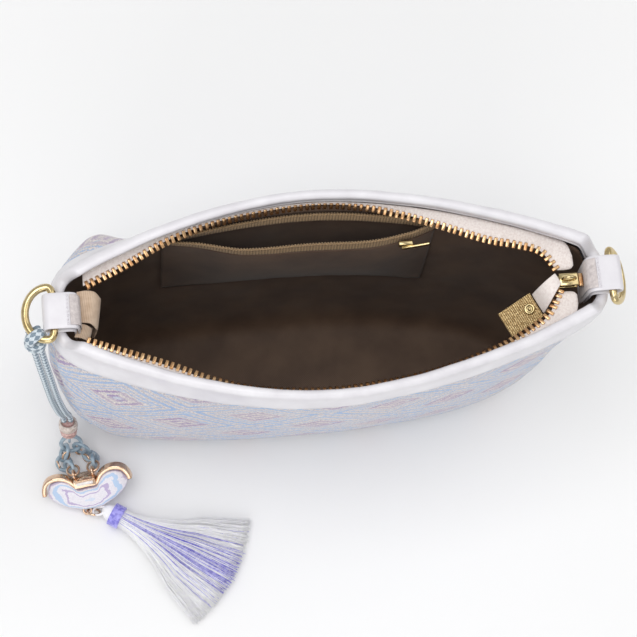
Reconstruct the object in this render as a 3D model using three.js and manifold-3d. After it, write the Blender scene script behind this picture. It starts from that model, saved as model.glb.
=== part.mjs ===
// Brocade zip purse with a tassel charm, standing on its base with the zip open.
// Millimetres, +Z up, origin at the middle of the base, +X to the right along the
// mouth, -Y to the front.
import * as THREE from "three";
import { mergeVertices } from "three/addons/utils/BufferGeometryUtils.js";
import Module from "manifold-3d";

const wasm = await Module();
wasm.setup();

// Sizes of the bag
const GAP = 0.3; // clearance between pieces that touch
const BODY_HEIGHT = 130;
const HALF_WIDTH = 112; // of the mouth
const MOUTH_HALF_DEPTH = 44;
const FABRIC_WALL = 1.6;
const LINING_WALL = 1.0;
const LINING_GAP = 0.6; // the lining hangs a little loose in the fabric
const BAND_HEIGHT = 15; // leather band round the mouth
const ROLL_THICKNESS = 3.5; // padded roll on top of the band
const LEAF_HEIGHT = 6.5; // inner face of the roll, down to the zip
const HEM_DROP = 5; // the lining starts this far under the roll's inner face

// Sizes of the zip and its pull
const TAPE_WIDTH = 12;
const TAPE_THICKNESS = 0.7;
const TEETH_WIDTH = 3;
const TEETH_THICKNESS = 1.6;
const SLIDER_LENGTH = 8;
const SLIDER_WIDTH = 8.6;
const SLIDER_THICKNESS = 4.2;
const PULL_LENGTH = 16;
const PULL_WIDTH = 11.5;
const PULL_THICKNESS = 1.2;
const RIVET_DIAMETER = 3.4;
const STRAP_THICKNESS = 1.0;
const PLATE_WALL = 1.1; // of the slider
const BAIL_HEIGHT = 3.2;
const BAIL_WIRE = 1.2;
const STUB_LENGTH = 2; // closed teeth behind the slider
const RIVET_RISE = 0.8;
const RIVET_CROWN = 0.7;
const STRAP_LOFT = 9; // the strap arches over the teeth
const STRAP_START = 9.4;
const STRAP_END = 5;
const STRAP_HEAD = new THREE.Vector3(-5, 0, 3.6); // from the middle of the slider

// Sizes of the pocket
const POCKET_DROP = 21; // its top edge under the top of the rim
const POCKET_DEPTH = 13;
const POCKET_WALL = 1.0;
const POCKET_GAP = 0.9; // from the lining
const COIL_HEIGHT = 6;
const COIL_THICKNESS = 1.4;
const COIL_SLIDER = 6;
const COIL_SLIDER_DEPTH = 2.4;
const COIL_PULL = 13;
const COIL_PULL_RISE = 20;
const COIL_SLIDER_AT = 0.3; // in half widths

// Sizes of the tabs and rings
const TAB_WIDTH = 15;
const TAB_LEATHER = 1.4;
const TAB_TAIL = 19; // the end that is sewn down inside the mouth, from the ring's bar
const TAB_INSET = 6.6; // from the side seam in to the tail
const TAB_OUT = 5.6; // from the side seam out to the fold
const RIGHT_TAB_SHIFT = 1; // sewn a little behind the seam
const RING_WIDTH = 25;
const RING_DEPTH = 15;
const RING_WIRE = 3.2;
const RING_CORNER = 3;
const BAR_DROP = 4.5; // ring bar under the top of the rim
const BAR_OUT = 0.8; // ring bar outside the side seam
const RIGHT_RING_HANG = 55; // degrees below level
const LEFT_RING_HANG = 8;

// Sizes of the charm
const CORD_DIAMETER = 2.6;
const KNOT_DIAMETER = 9.2;
const KNOT_HEIGHT = 15;
const BEAD_DIAMETER = 8.4;
const BEAD_LENGTH = 9;
const LINK_WIDTH = 7.2;
const LINK_WIRE = 1.1;
const LINK_SQUARE = 0.85; // 1 would give an ellipse, less gives squarer ends
const LINK_SLACK = 1.35; // links that meet at an angle need this much more room
const ROUND_LINK = 10;
const JUMP_RING = 6.4;
const JUMP_WIRE = 1.1;
const LOCK_WIDTH = 41;
const LOCK_HEIGHT = 18;
const LOCK_THICKNESS = 6.4;
const FRAME_WALL = 1.7;
const PAD_SQUARE = 0.55; // 1 would give the pad a round section, 0 a square one
const FRAME_LIP = 0.7; // the frame stands proud of the pad on each face
const CLASP_LENGTH = 9.6;
const CLASP_HEIGHT = 3.4;
const CLASP_LIFT = 1.2; // its middle above the dip of the frame
const EYE_WIRE = 1.1;
const EYE_DIAMETER = 4.6;
const FOOT_EYE_SHIFT = -3.5;
const TASSEL_HEAD = 3.5;
const NECK_RADIUS = 4.2;
const SILK_WIRE = 1.2; // the twisted silk that the tassel hangs by
const SILK_LOOP = 5.4;
const BAND_LENGTH = 5;
const BAND_WALL = 0.8;
const SKIRT_LENGTH = 57;
const SKIRT_LOCKS = 10;
const SKIRT_SPREAD = 44; // degrees from the first lock to the last

// Fineness of the meshes
const BAG_STATIONS = 22;
const RIM_STATIONS = 34;
const ZIP_STATIONS = 30;
const RING_STATIONS = 13;
const WIRE_SIDES = 8;
const LINK_STATIONS = 12;
const LINK_SIDES = 5;
const STRAP_STATIONS = 6;
const POCKET_STATIONS = 16;
const FOLD_STEPS = 8;
const LOCK_STATIONS = 14;
const LOCK_SIDES = 6;
const PAD_SIDES = 12;
const CORD_SIDES = 8;
const CORD_STEPS = 15;
const MERGE_DISTANCE = 1e-3;

// Outlines of the bag from base to mouth. "at" is a share of the height, left and
// right are shares of the half width, and the depths are shares of the mouth's half
// depth: at the two ends of each face and at its crest. A high corner number and a
// low edge number make square ends.
const SECTIONS = [
  { at: 0, left: 0.91, right: 0.82, frontLeft: 0.455, frontMiddle: 0.58, frontRight: 0.34,
    backLeft: 0.455, backMiddle: 0.545, backRight: 0.34, corner: 7, edge: 0.5 },
  { at: 0.06, left: 0.955, right: 0.865, frontLeft: 0.57, frontMiddle: 0.67, frontRight: 0.41,
    backLeft: 0.57, backMiddle: 0.66, backRight: 0.41, corner: 7, edge: 0.5 },
  { at: 0.25, left: 1.018, right: 0.93, frontLeft: 0.66, frontMiddle: 0.79, frontRight: 0.41,
    backLeft: 0.68, backMiddle: 0.77, backRight: 0.455, corner: 8, edge: 0.5 },
  { at: 0.55, left: 1.045, right: 0.973, frontLeft: 0.57, frontMiddle: 0.92, frontRight: 0.34,
    backLeft: 0.77, backMiddle: 0.86, backRight: 0.455, corner: 9, edge: 0.46 },
  { at: 0.8, left: 1.036, right: 1.009, frontLeft: 0.4, frontMiddle: 0.975, frontRight: 0.3,
    backLeft: 0.64, backMiddle: 0.955, backRight: 0.38, corner: 16, edge: 0.36 },
  { at: 0.93, left: 1.009, right: 1.018, frontLeft: 0.33, frontMiddle: 1, frontRight: 0.29,
    backLeft: 0.41, backMiddle: 1, backRight: 0.34, corner: 28, edge: 0.28 },
  { at: 1, left: 1, right: 1.018, frontLeft: 0.31, frontMiddle: 1, frontRight: 0.29,
    backLeft: 0.3, backMiddle: 1, backRight: 0.33, corner: 40, edge: 0.25 },
];
const CREST_SHIFT = -0.06; // the crest lies a little left of the middle
const CROWN_POWER = 1.8;
const LEVELS = [0.035, 0.11, 0.25, 0.42, 0.6, 0.78, 0.87]; // where the walls bend
const POCKET_LEVELS = [0.42, 0.6, 0.78]; // the same bends, where the pocket hangs
const DIP_START = 0.93; // the rim starts to fall towards the tab, in half widths
const DIP_END = 0.982;

// Where the tips of the zip teeth run: "at" is a share of the zip's reach, front and
// back are shares of the mouth's half depth, height is a share of the bag's height.
const ZIP_LINE = [
  { at: -0.9, front: 0.245, back: 0.225, height: 0.941 },
  { at: -0.76, front: 0.377, back: 0.39, height: 0.933 },
  { at: -0.6, front: 0.53, back: 0.61, height: 0.927 },
  { at: -0.455, front: 0.69, back: 0.755, height: 0.922 },
  { at: -0.295, front: 0.81, back: 0.85, height: 0.919 },
  { at: -0.045, front: 0.864, back: 0.91, height: 0.919 },
  { at: 0.134, front: 0.836, back: 0.87, height: 0.919 },
  { at: 0.286, front: 0.785, back: 0.757, height: 0.919 },
  { at: 0.43, front: 0.7, back: 0.62, height: 0.92 },
  { at: 0.59, front: 0.565, back: 0.455, height: 0.923 },
  { at: 0.705, front: 0.42, back: 0.375, height: 0.927 },
  { at: 0.786, front: 0.275, back: 0.285, height: 0.932 },
  { at: 0.835, front: 0.06, back: 0.085, height: 0.935 },
];
const TAPE_END = 0.9; // the tapes run on beside the slider, in shares of the reach

// How far the pocket stands out from the back lining, as a share of its depth
const POCKET_LINE = [
  { at: -0.6, depth: 0 },
  { at: -0.48, depth: 0.3 },
  { at: -0.3, depth: 0.85 },
  { at: -0.1, depth: 1 },
  { at: 0.15, depth: 0.9 },
  { at: 0.32, depth: 0.45 },
  { at: 0.42, depth: 0 },
];

// Outline of the charm: "at" is a share of its half width, top and foot are shares
// of its height
const LOCK_LINE = [
  { at: 0, top: 0.2, foot: -0.53 },
  { at: 0.24, top: 0.21, foot: -0.51 },
  { at: 0.38, top: 0.38, foot: -0.46 },
  { at: 0.6, top: 0.46, foot: -0.36 },
  { at: 0.8, top: 0.4, foot: -0.21 },
  { at: 0.93, top: 0.28, foot: -0.07 },
  { at: 1, top: 0.16, foot: -0.02 },
];

// Turned outline of the bead: "out" is a share of its radius, along of its length
const BEAD_PROFILE = [
  { out: 0, along: -0.5 },
  { out: 0.6, along: -0.5 },
  { out: 0.92, along: -0.32 },
  { out: 0.86, along: -0.08 },
  { out: 1, along: 0.06 },
  { out: 1, along: 0.32 },
  { out: 0.82, along: 0.5 },
  { out: 0, along: 0.5 },
];

// A lock of the skirt from the band to its tip: "at" is a share of the skirt's length,
// the rest are shares of the neck's radius
const SKIRT_LINE = [
  { at: 0, wide: 0.9, thick: 1.5, rise: 0 },
  { at: 0.3, wide: 1.25, thick: 1.6, rise: -0.25 },
  { at: 0.7, wide: 1.35, thick: 1.1, rise: -0.65 },
  { at: 1, wide: 1.05, thick: 0.5, rise: -0.95 },
];
const SKIRT_STAGGER = 3; // every second lock is this much shorter

// The two strands hang side by side along this route, from the knot to the bead
const CORD_ROUTE = [
  [-120.9, -9.6, 111.8], [-120.5, -10.6, 108.4], [-120.0, -11.8, 103.6],
  [-119.4, -13.2, 97.6], [-118.7, -14.6, 91.0], [-118.0, -15.8, 84.0],
  [-117.4, -16.8, 76.8], [-116.8, -17.6, 69.4], [-116.2, -18.2, 62.0],
  [-115.5, -18.6, 54.6], [-114.7, -18.8, 47.2], [-113.9, -18.8, 40.2],
  [-113.1, -18.5, 34.0], [-112.3, -18.0, 28.8], [-111.8, -19.0, 24.2],
];

// Where each pair of links of the two short chains holds on to each other
const CHAIN_TOP = [[-111.0, -24.6, 12.6], [-111.0, -27.9, 7.6]];
const CHAIN_LEFT = [
  [-113.2, -27.4, 8.4], [-115.5, -31.5, 5.1], [-113.8, -36.6, 6.2], [-111.2, -37.5, 11.3],
];
const CHAIN_RIGHT = [
  [-108.6, -26.9, 9.0], [-104.4, -30.0, 5.9], [-101.0, -33.9, 7.7], [-101.6, -36.5, 13.3],
];
const TASSEL_RING = [[-104.7, -56.0, 2.8], [-101.2, -57.2, 3.3]];

// Places of the loose pieces
const KNOT_CENTRE = new THREE.Vector3(-121, -9, 119.6);
const BEAD_CENTRE = new THREE.Vector3(-111.6, -21.2, 19.2);
const BEAD_TILT = 24; // degrees, its foot towards the front
const LOCK_CENTRE = new THREE.Vector3(-104.6, -47.2, 9.8);
const LOCK_LEAN = 48; // degrees from the floor to its face's normal
const LOCK_YAW = -10;
const LOCK_SPIN = 20;
const TASSEL_PLACE = new THREE.Vector3(-92.8, -59.8, 5.4);
const TASSEL_YAW = -32;
const PULL_OFFSET = new THREE.Vector3(-19.6, -11.1, -8.1); // from the slider
const PULL_YAW = 25;
const PULL_SLOPE = 29;

const DEGREE = Math.PI / 180;
const purse = new THREE.Group();

const finishes = {
  brocade: new THREE.MeshStandardMaterial({ color: 0xd6cfd2, roughness: 0.55 }),
  leather: new THREE.MeshStandardMaterial({ color: 0xeceaf0, roughness: 0.45 }),
  lining: new THREE.MeshStandardMaterial({ color: 0x5b4636, roughness: 0.8 }),
  tape: new THREE.MeshStandardMaterial({ color: 0xefe4df, roughness: 0.85 }),
  coil: new THREE.MeshStandardMaterial({ color: 0xa0825f, roughness: 0.7 }),
  teeth: new THREE.MeshStandardMaterial({ color: 0xc9a070, roughness: 0.3, metalness: 1 }),
  gold: new THREE.MeshStandardMaterial({ color: 0xe0c890, roughness: 0.2, metalness: 1 }),
  plate: new THREE.MeshStandardMaterial({ color: 0xb0974a, roughness: 0.45, metalness: 1 }),
  cord: new THREE.MeshStandardMaterial({ color: 0x8fa3b5, roughness: 0.6 }),
  bead: new THREE.MeshStandardMaterial({ color: 0xd9c2bc, roughness: 0.5 }),
  link: new THREE.MeshStandardMaterial({ color: 0x97adb8, roughness: 0.35 }),
  frame: new THREE.MeshStandardMaterial({ color: 0xd9b184, roughness: 0.2, metalness: 1 }),
  silk: new THREE.MeshStandardMaterial({ color: 0xf0eef6, roughness: 0.5 }),
  violet: new THREE.MeshStandardMaterial({ color: 0x7b74d8, roughness: 0.5 }),
};

// A closed mesh with its faces turned outwards
function closedMesh(points, faces) {
  const across = new THREE.Vector3();
  const volume = faces.reduce(
    (sum, [a, b, c]) => sum + points[a].dot(across.crossVectors(points[b], points[c])),
    0,
  );
  const outward = volume < 0 ? faces.map(([a, b, c]) => [a, c, b]) : faces;
  const geometry = new THREE.BufferGeometry().setFromPoints(points);
  return geometry.setIndex(outward.flat());
}

// Triangles that close one planar outline
function capFaces(loop, first) {
  const normal = new THREE.Vector3();
  const origin = loop[0];
  for (let i = 1; i < loop.length - 1; i += 1) {
    const one = loop[i].clone().sub(origin);
    normal.add(one.cross(loop[i + 1].clone().sub(origin)));
  }
  normal.normalize();
  const spread = Math.abs(normal.z) > 0.9 ? new THREE.Vector3(1, 0, 0) : new THREE.Vector3(0, 0, 1);
  const east = spread.cross(normal).normalize();
  const north = normal.clone().cross(east);
  const flat = loop.map((p) => new THREE.Vector2(p.dot(east), p.dot(north)));
  return THREE.ShapeUtils.triangulateShape(flat, []).map((face) => face.map((i) => i + first));
}

// A skin through a row of outlines that hold the same number of points
function loft(loops) {
  const size = loops[0].length;
  const faces = [];
  for (let i = 0; i < loops.length - 1; i += 1) {
    for (let j = 0; j < size; j += 1) {
      const here = i * size + j;
      const beside = i * size + ((j + 1) % size);
      faces.push([here, beside, beside + size], [here, beside + size, here + size]);
    }
  }
  const start = capFaces(loops[0], 0).map(([a, b, c]) => [a, c, b]);
  const end = capFaces(loops[loops.length - 1], (loops.length - 1) * size);
  return closedMesh(loops.flat(), [...faces, ...start, ...end]);
}

function solid(geometry) {
  const bare = geometry.clone();
  bare.deleteAttribute("normal");
  bare.deleteAttribute("uv");
  const merged = mergeVertices(bare, MERGE_DISTANCE);
  return new wasm.Manifold(
    new wasm.Mesh({
      numProp: 3,
      vertProperties: merged.getAttribute("position").array,
      triVerts: new Uint32Array(merged.index.array),
    }),
  );
}

function skin(body) {
  const mesh = body.getMesh();
  const geometry = new THREE.BufferGeometry();
  geometry.setAttribute("position", new THREE.BufferAttribute(mesh.vertProperties, 3));
  return geometry.setIndex(new THREE.BufferAttribute(mesh.triVerts, 1));
}

function fuse(...geometries) {
  return skin(geometries.map(solid).reduce((whole, next) => whole.add(next)));
}

function cut(geometry, tool) {
  return skin(solid(geometry).subtract(solid(tool)));
}

function addPiece(name, geometry, material, parent = purse) {
  const faceted = geometry.index ? geometry.toNonIndexed() : geometry;
  faceted.computeVertexNormals();
  const mesh = new THREE.Mesh(faceted, material);
  mesh.name = name;
  parent.add(mesh);
  return mesh;
}

// A smooth curve through one column of a table
function blend(rows, column, at) {
  let i = 0;
  while (i < rows.length - 2 && at > rows[i + 1].at) i += 1;
  const [from, to] = [rows[i], rows[i + 1]];
  const before = rows[Math.max(i - 1, 0)];
  const after = rows[Math.min(i + 2, rows.length - 1)];
  const span = to.at - from.at;
  const slopeFrom = ((to[column] - before[column]) / (to.at - before.at)) * span;
  const slopeTo = ((after[column] - from[column]) / (after.at - from.at)) * span;
  const s = THREE.MathUtils.clamp((at - from.at) / span, 0, 1);
  const s2 = s * s;
  const s3 = s2 * s;
  return (
    from[column] * (2 * s3 - 3 * s2 + 1) +
    slopeFrom * (s3 - 2 * s2 + s) +
    to[column] * (3 * s2 - 2 * s3) +
    slopeTo * (s3 - s2)
  );
}

// Evenly eased places from the left end, -1, to the right end, 1
function stations(count) {
  return Array.from({ length: count + 1 }, (_, i) => {
    const wave = Math.sin((((2 * i) / count - 1) * Math.PI) / 2);
    return Math.sign(wave) * Math.abs(wave) ** 0.8;
  });
}

function ends(z) {
  const left = blend(SECTIONS, "left", z / BODY_HEIGHT) * HALF_WIDTH;
  const right = blend(SECTIONS, "right", z / BODY_HEIGHT) * HALF_WIDTH;
  return { middle: (right - left) / 2, half: (right + left) / 2 };
}

// A point on the wall at share u of its width, at height z, set in from the outside
function wallPoint(side, u, z, inset) {
  const at = z / BODY_HEIGHT;
  const size = (column) => blend(SECTIONS, column, at);
  const { middle, half } = ends(z);
  const cap = Math.max(1 - Math.abs(u) ** size("corner"), 0) ** size("edge");
  const crest = CREST_SHIFT * at;
  const away = u > crest ? (u - crest) / (1 - crest) : (crest - u) / (1 + crest);
  const crown = 1 - Math.min(away, 1) ** CROWN_POWER;
  const end = size(side + (u > crest ? "Right" : "Left"));
  const depth = (end + (size(side + "Middle") - end) * crown) * MOUTH_HALF_DEPTH - inset;
  const y = depth * cap;
  return new THREE.Vector3(middle + (half - inset) * u, side === "front" ? -y : y, z);
}

// One outline right round the bag; the height may change along it
function bagLoop(height, inset) {
  const along = stations(BAG_STATIONS);
  const front = along.map((u) => wallPoint("front", u, height(u), inset));
  const back = along.slice(1, -1).reverse();
  return [...front, ...back.map((u) => wallPoint("back", u, height(u), inset))];
}

// An open bag: up the outside, over its top edge and down the inside
function bagShell(foot, top, inset, wall) {
  const heights = LEVELS.map((level) => () => level * BODY_HEIGHT);
  const climb = (from, inward) =>
    [() => from, ...heights, top].map((height) => bagLoop(height, inward));
  return loft([...climb(foot, inset), ...climb(foot + wall, inset + wall).reverse()]);
}

// The rim falls at both ends to pass under the tabs
const bandFoot = BODY_HEIGHT - BAND_HEIGHT;
const barHeight = BODY_HEIGHT - BAR_DROP;
const loopHalfHeight = RING_WIRE / 2 + GAP + TAB_LEATHER;
const rimEndTop = barHeight - loopHalfHeight - GAP;

function rimTop(u) {
  const dip = THREE.MathUtils.smoothstep(Math.abs(u), DIP_START, DIP_END);
  return THREE.MathUtils.lerp(BODY_HEIGHT, rimEndTop, dip);
}

function leafFoot(u) {
  return Math.max(rimTop(u) - LEAF_HEIGHT, bandFoot + FABRIC_WALL);
}

function addBag() {
  const fabric = bagShell(0, () => bandFoot - GAP, 0, FABRIC_WALL);
  addPiece("brocade_body", fabric, finishes.brocade);
  const hem = (u) => leafFoot(u) - HEM_DROP;
  const inset = FABRIC_WALL + LINING_GAP;
  addPiece("lining", bagShell(inset, hem, inset, LINING_WALL), finishes.lining);
}

// Cross-section of the rim as [inset, height], from the foot of its outer face
function rimProfile(u) {
  const top = rimTop(u);
  const round = ROLL_THICKNESS / 2;
  const profile = [[0, bandFoot]];
  for (let i = 0; i <= 4; i += 1) {
    const turn = (i * Math.PI) / 4;
    profile.push([round - round * Math.cos(turn), top - round + round * Math.sin(turn)]);
  }
  profile.push([ROLL_THICKNESS, leafFoot(u)], [FABRIC_WALL, leafFoot(u)], [FABRIC_WALL, bandFoot]);
  return profile;
}

function addRims() {
  for (const side of ["front", "back"]) {
    const shift = ((side === "front" ? -1 : 1) * GAP) / 2;
    const loops = stations(RIM_STATIONS).map((u) =>
      rimProfile(u).map(([inset, z]) => {
        const point = wallPoint(side, u, z, inset);
        point.y += shift;
        return point;
      }),
    );
    addPiece(`${side}_rim`, loft(loops), finishes.leather);
  }
}

// The slider and the closed teeth fill the way from the last open tooth to the right tab
const leftSeam = -SECTIONS[SECTIONS.length - 1].left * HALF_WIDTH;
const rightSeam = SECTIONS[SECTIONS.length - 1].right * HALF_WIDTH;
const zipEnd = rightSeam - TAB_INSET - 2 * TAB_LEATHER - STUB_LENGTH - SLIDER_LENGTH - 4 * GAP;
const zipReach = zipEnd / ZIP_LINE[ZIP_LINE.length - 1].at;

function zipTip(side, at) {
  const y = blend(ZIP_LINE, side, at) * MOUTH_HALF_DEPTH;
  const z = blend(ZIP_LINE, "height", at) * BODY_HEIGHT;
  return new THREE.Vector3(at * zipReach, side === "front" ? -y : y, z);
}

// Where the tape leaves the seam under the roll, straight out from a tip
function zipSeam(side, tip) {
  const z = BODY_HEIGHT - LEAF_HEIGHT - 3 * GAP - TAPE_THICKNESS;
  const { middle, half } = ends(z);
  const inset = FABRIC_WALL + 2 * GAP + TAPE_THICKNESS;
  const wall = wallPoint(side, (tip.x - middle) / (half - inset), z, inset);
  const reach = Math.min(Math.abs(wall.y - tip.y), TAPE_WIDTH) * Math.sign(wall.y);
  const share = reach / (wall.y - tip.y);
  return new THREE.Vector3(tip.x, tip.y + reach, tip.z + (z - tip.z) * share);
}

// Outline of a strip between two distances from the tip, along the tape
function stripLoop(tip, seam, from, to, thickness) {
  const along = seam.clone().sub(tip).normalize();
  const up = new THREE.Vector3(1, 0, 0).cross(along).normalize();
  if (up.z < 0) up.negate();
  const half = thickness / 2;
  const corner = (out, rise) => tip.clone().addScaledVector(along, out).addScaledVector(up, rise);
  return [corner(from, -half), corner(to, -half), corner(to, half), corner(from, half)];
}

function addZip() {
  const first = ZIP_LINE[0].at;
  const places = (last) =>
    Array.from({ length: ZIP_STATIONS + 1 }, (_, i) =>
      THREE.MathUtils.lerp(first, last, i / ZIP_STATIONS),
    );
  const inner = TEETH_WIDTH + 2 * GAP;
  for (const side of ["front", "back"]) {
    const strip = (last, from, to, thickness) =>
      places(last).map((at) => {
        const tip = zipTip(side, at);
        const seam = zipSeam(side, tip);
        return stripLoop(tip, seam, from, to(seam.distanceTo(tip)), thickness);
      });
    const lastTooth = ZIP_LINE[ZIP_LINE.length - 1].at;
    const teeth = strip(lastTooth, 0, () => TEETH_WIDTH, TEETH_THICKNESS);
    const outer = (reach) => Math.max(reach, inner + GAP);
    addPiece(`zip_teeth_${side}`, loft(teeth), finishes.teeth);
    addPiece(`zip_tape_${side}`, loft(strip(TAPE_END, inner, outer, TAPE_THICKNESS)), finishes.tape);
  }
}

// The slider sits where the two rows of teeth end
const slider = zipTip("front", ZIP_LINE[ZIP_LINE.length - 1].at)
  .lerp(zipTip("back", ZIP_LINE[ZIP_LINE.length - 1].at), 0.5)
  .add(new THREE.Vector3(GAP + SLIDER_LENGTH / 2, 0, 0));

function box(length, width, height, x = 0, y = 0, z = 0) {
  return new THREE.BoxGeometry(length, width, height).translate(x, y, z);
}

// A flat outline from [x, y] pairs, raised along +Z from below the middle to above it
function slab(outline, thickness, holes = []) {
  const points = (pairs) => pairs.map(([x, y]) => new THREE.Vector2(x, y));
  const shape = new THREE.Shape(points(outline));
  shape.holes = holes.map((hole) => new THREE.Path(points(hole)));
  const geometry = new THREE.ExtrudeGeometry(shape, { depth: thickness, bevelEnabled: false });
  return geometry.translate(0, 0, -thickness / 2);
}

// A closed wire along a flat loop of [x, y] pairs
function hoop(path, wire, sides) {
  const points = [];
  const faces = [];
  const count = path.length;
  path.forEach(([x, y], i) => {
    const [fromX, fromY] = path[(i + count - 1) % count];
    const [toX, toY] = path[(i + 1) % count];
    const out = new THREE.Vector2(toY - fromY, fromX - toX).normalize();
    for (let j = 0; j < sides; j += 1) {
      const turn = (2 * Math.PI * j) / sides;
      const reach = (wire / 2) * Math.cos(turn);
      const rise = (wire / 2) * Math.sin(turn);
      points.push(new THREE.Vector3(x + out.x * reach, y + out.y * reach, rise));
      const here = i * sides + j;
      const beside = i * sides + ((j + 1) % sides);
      const step = i === count - 1 ? -i * sides : sides;
      faces.push([here, beside, beside + step], [here, beside + step, here + step]);
    }
  });
  return closedMesh(points, faces);
}

function oval(halfLength, halfWidth, count) {
  return Array.from({ length: count }, (_, i) => {
    const turn = (2 * Math.PI * i) / count;
    return [halfLength * Math.cos(turn), halfWidth * Math.sin(turn)];
  });
}

function addSlider() {
  const reach = (SLIDER_THICKNESS - PLATE_WALL) / 2;
  const plate = (z) => box(SLIDER_LENGTH, SLIDER_WIDTH, PLATE_WALL, 0, 0, z);
  const post = box(SLIDER_LENGTH / 3, SLIDER_WIDTH / 4, SLIDER_THICKNESS - PLATE_WALL);
  const bail = hoop(oval(SLIDER_LENGTH / 3, BAIL_HEIGHT, LINK_STATIONS), BAIL_WIRE, WIRE_SIDES);
  bail.rotateX(Math.PI / 2).translate(0, 0, SLIDER_THICKNESS / 2);
  const below = box(SLIDER_LENGTH, SLIDER_WIDTH, SLIDER_THICKNESS, 0, 0, -PLATE_WALL / 2);
  const arch = cut(bail, below);
  const body = addPiece("zip_slider", fuse(plate(reach), plate(-reach), post, arch), finishes.gold);
  body.position.copy(slider);
  const stub = box(STUB_LENGTH, 2 * TEETH_WIDTH, TEETH_THICKNESS);
  const end = addPiece("zip_closed_end", stub, finishes.teeth);
  end.position.copy(slider);
  end.position.x += SLIDER_LENGTH / 2 + GAP + STUB_LENGTH / 2;
}

// The metal plate hangs from the slider's bail on a strap of folded tape
function addPull() {
  const pull = new THREE.Group();
  pull.position.copy(slider).add(PULL_OFFSET);
  pull.rotation.set(0, -PULL_SLOPE * DEGREE, PULL_YAW * DEGREE, "ZYX");
  purse.add(pull);
  addPiece("pull_plate", box(PULL_LENGTH, PULL_WIDTH, PULL_THICKNESS), finishes.plate, pull);
  const radius = RIVET_DIAMETER / 2;
  const rivet = new THREE.CylinderGeometry(radius * RIVET_CROWN, radius, RIVET_RISE, 12);
  rivet.rotateX(Math.PI / 2);
  const seat = (PULL_THICKNESS + RIVET_RISE) / 2 + GAP;
  rivet.translate(PULL_LENGTH / 2 - RIVET_DIAMETER, 0, seat);
  addPiece("pull_rivet", rivet, finishes.gold, pull);

  pull.updateMatrixWorld();
  const foot = pull.localToWorld(new THREE.Vector3(PULL_LENGTH / 2 + 2.5 * GAP, 0, 0));
  const head = slider.clone().add(STRAP_HEAD);
  const rise = new THREE.QuadraticBezierCurve3(
    foot,
    foot.clone().lerp(head, 0.35).add(new THREE.Vector3(0, 0, STRAP_LOFT)),
    head,
  );
  const across = new THREE.Vector3(-Math.sin(PULL_YAW * DEGREE), Math.cos(PULL_YAW * DEGREE), 0);
  const loops = rise.getPoints(STRAP_STATIONS).map((point, i, all) => {
    const half = THREE.MathUtils.lerp(STRAP_START, STRAP_END, i / (all.length - 1)) / 2;
    const ahead = rise.getTangent(i / (all.length - 1));
    const up = across.clone().cross(ahead).normalize().multiplyScalar(-STRAP_THICKNESS / 2);
    const edge = (side, lift) =>
      point.clone().addScaledVector(across, side * half).addScaledVector(up, lift);
    return [edge(-1, -1), edge(1, -1), edge(1, 1), edge(-1, 1)];
  });
  addPiece("pull_strap", loft(loops), finishes.tape);
}

// A point in front of the back lining by "out"
function pocketPoint(at, z, out) {
  const inset = FABRIC_WALL + LINING_GAP + LINING_WALL + POCKET_GAP + out;
  const { middle, half } = ends(z);
  return wallPoint("back", (at * HALF_WIDTH - middle) / (half - inset), z, inset);
}

function addPocket() {
  const first = POCKET_LINE[0].at;
  const last = POCKET_LINE[POCKET_LINE.length - 1].at;
  const places = Array.from({ length: POCKET_STATIONS + 1 }, (_, i) =>
    THREE.MathUtils.lerp(first, last, i / POCKET_STATIONS),
  );
  const top = BODY_HEIGHT - POCKET_DROP;
  const heights = [...POCKET_LEVELS.map((level) => level * BODY_HEIGHT), top];
  const foot = heights[0];
  const bulge = (at, z) => {
    const share = Math.sin((Math.PI / 2) * ((z - foot) / (top - foot)));
    return Math.max(blend(POCKET_LINE, "depth", at), 0) * POCKET_DEPTH * share;
  };
  const panel = places.map((at) => [
    ...heights.map((z) => pocketPoint(at, z, bulge(at, z) + POCKET_WALL)),
    ...heights.toReversed().map((z) => pocketPoint(at, z, bulge(at, z))),
  ]);
  addPiece("pocket_panel", loft(panel), finishes.lining);

  const strip = (at, low, out) => [
    pocketPoint(at, low, out + COIL_THICKNESS),
    pocketPoint(at, low + COIL_HEIGHT, out + COIL_THICKNESS),
    pocketPoint(at, low + COIL_HEIGHT, out),
    pocketPoint(at, low, out),
  ];
  const low = top + GAP;
  const front = places.map((at) => strip(at, low, bulge(at, top)));
  addPiece("pocket_zip_front", loft(front), finishes.coil);
  const clear = places.filter((at) => bulge(at, top) > COIL_THICKNESS + GAP);
  addPiece("pocket_zip_back", loft(clear.map((at) => strip(at, low, 0))), finishes.coil);

  const out = bulge(COIL_SLIDER_AT, top) + COIL_THICKNESS + GAP;
  const body = box(COIL_SLIDER, COIL_SLIDER_DEPTH, COIL_SLIDER);
  const tongue = box(COIL_PULL, STRAP_THICKNESS, COIL_SLIDER / 2);
  tongue.rotateY(-COIL_PULL_RISE * DEGREE).translate(COIL_PULL / 3, -COIL_SLIDER_DEPTH / 2, 0);
  const whole = addPiece("pocket_slider", fuse(body, tongue), finishes.plate);
  whole.position.copy(pocketPoint(COIL_SLIDER_AT, low + COIL_HEIGHT / 2, out));
  whole.position.y -= COIL_SLIDER_DEPTH / 2 + 3 * GAP;
}

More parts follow.
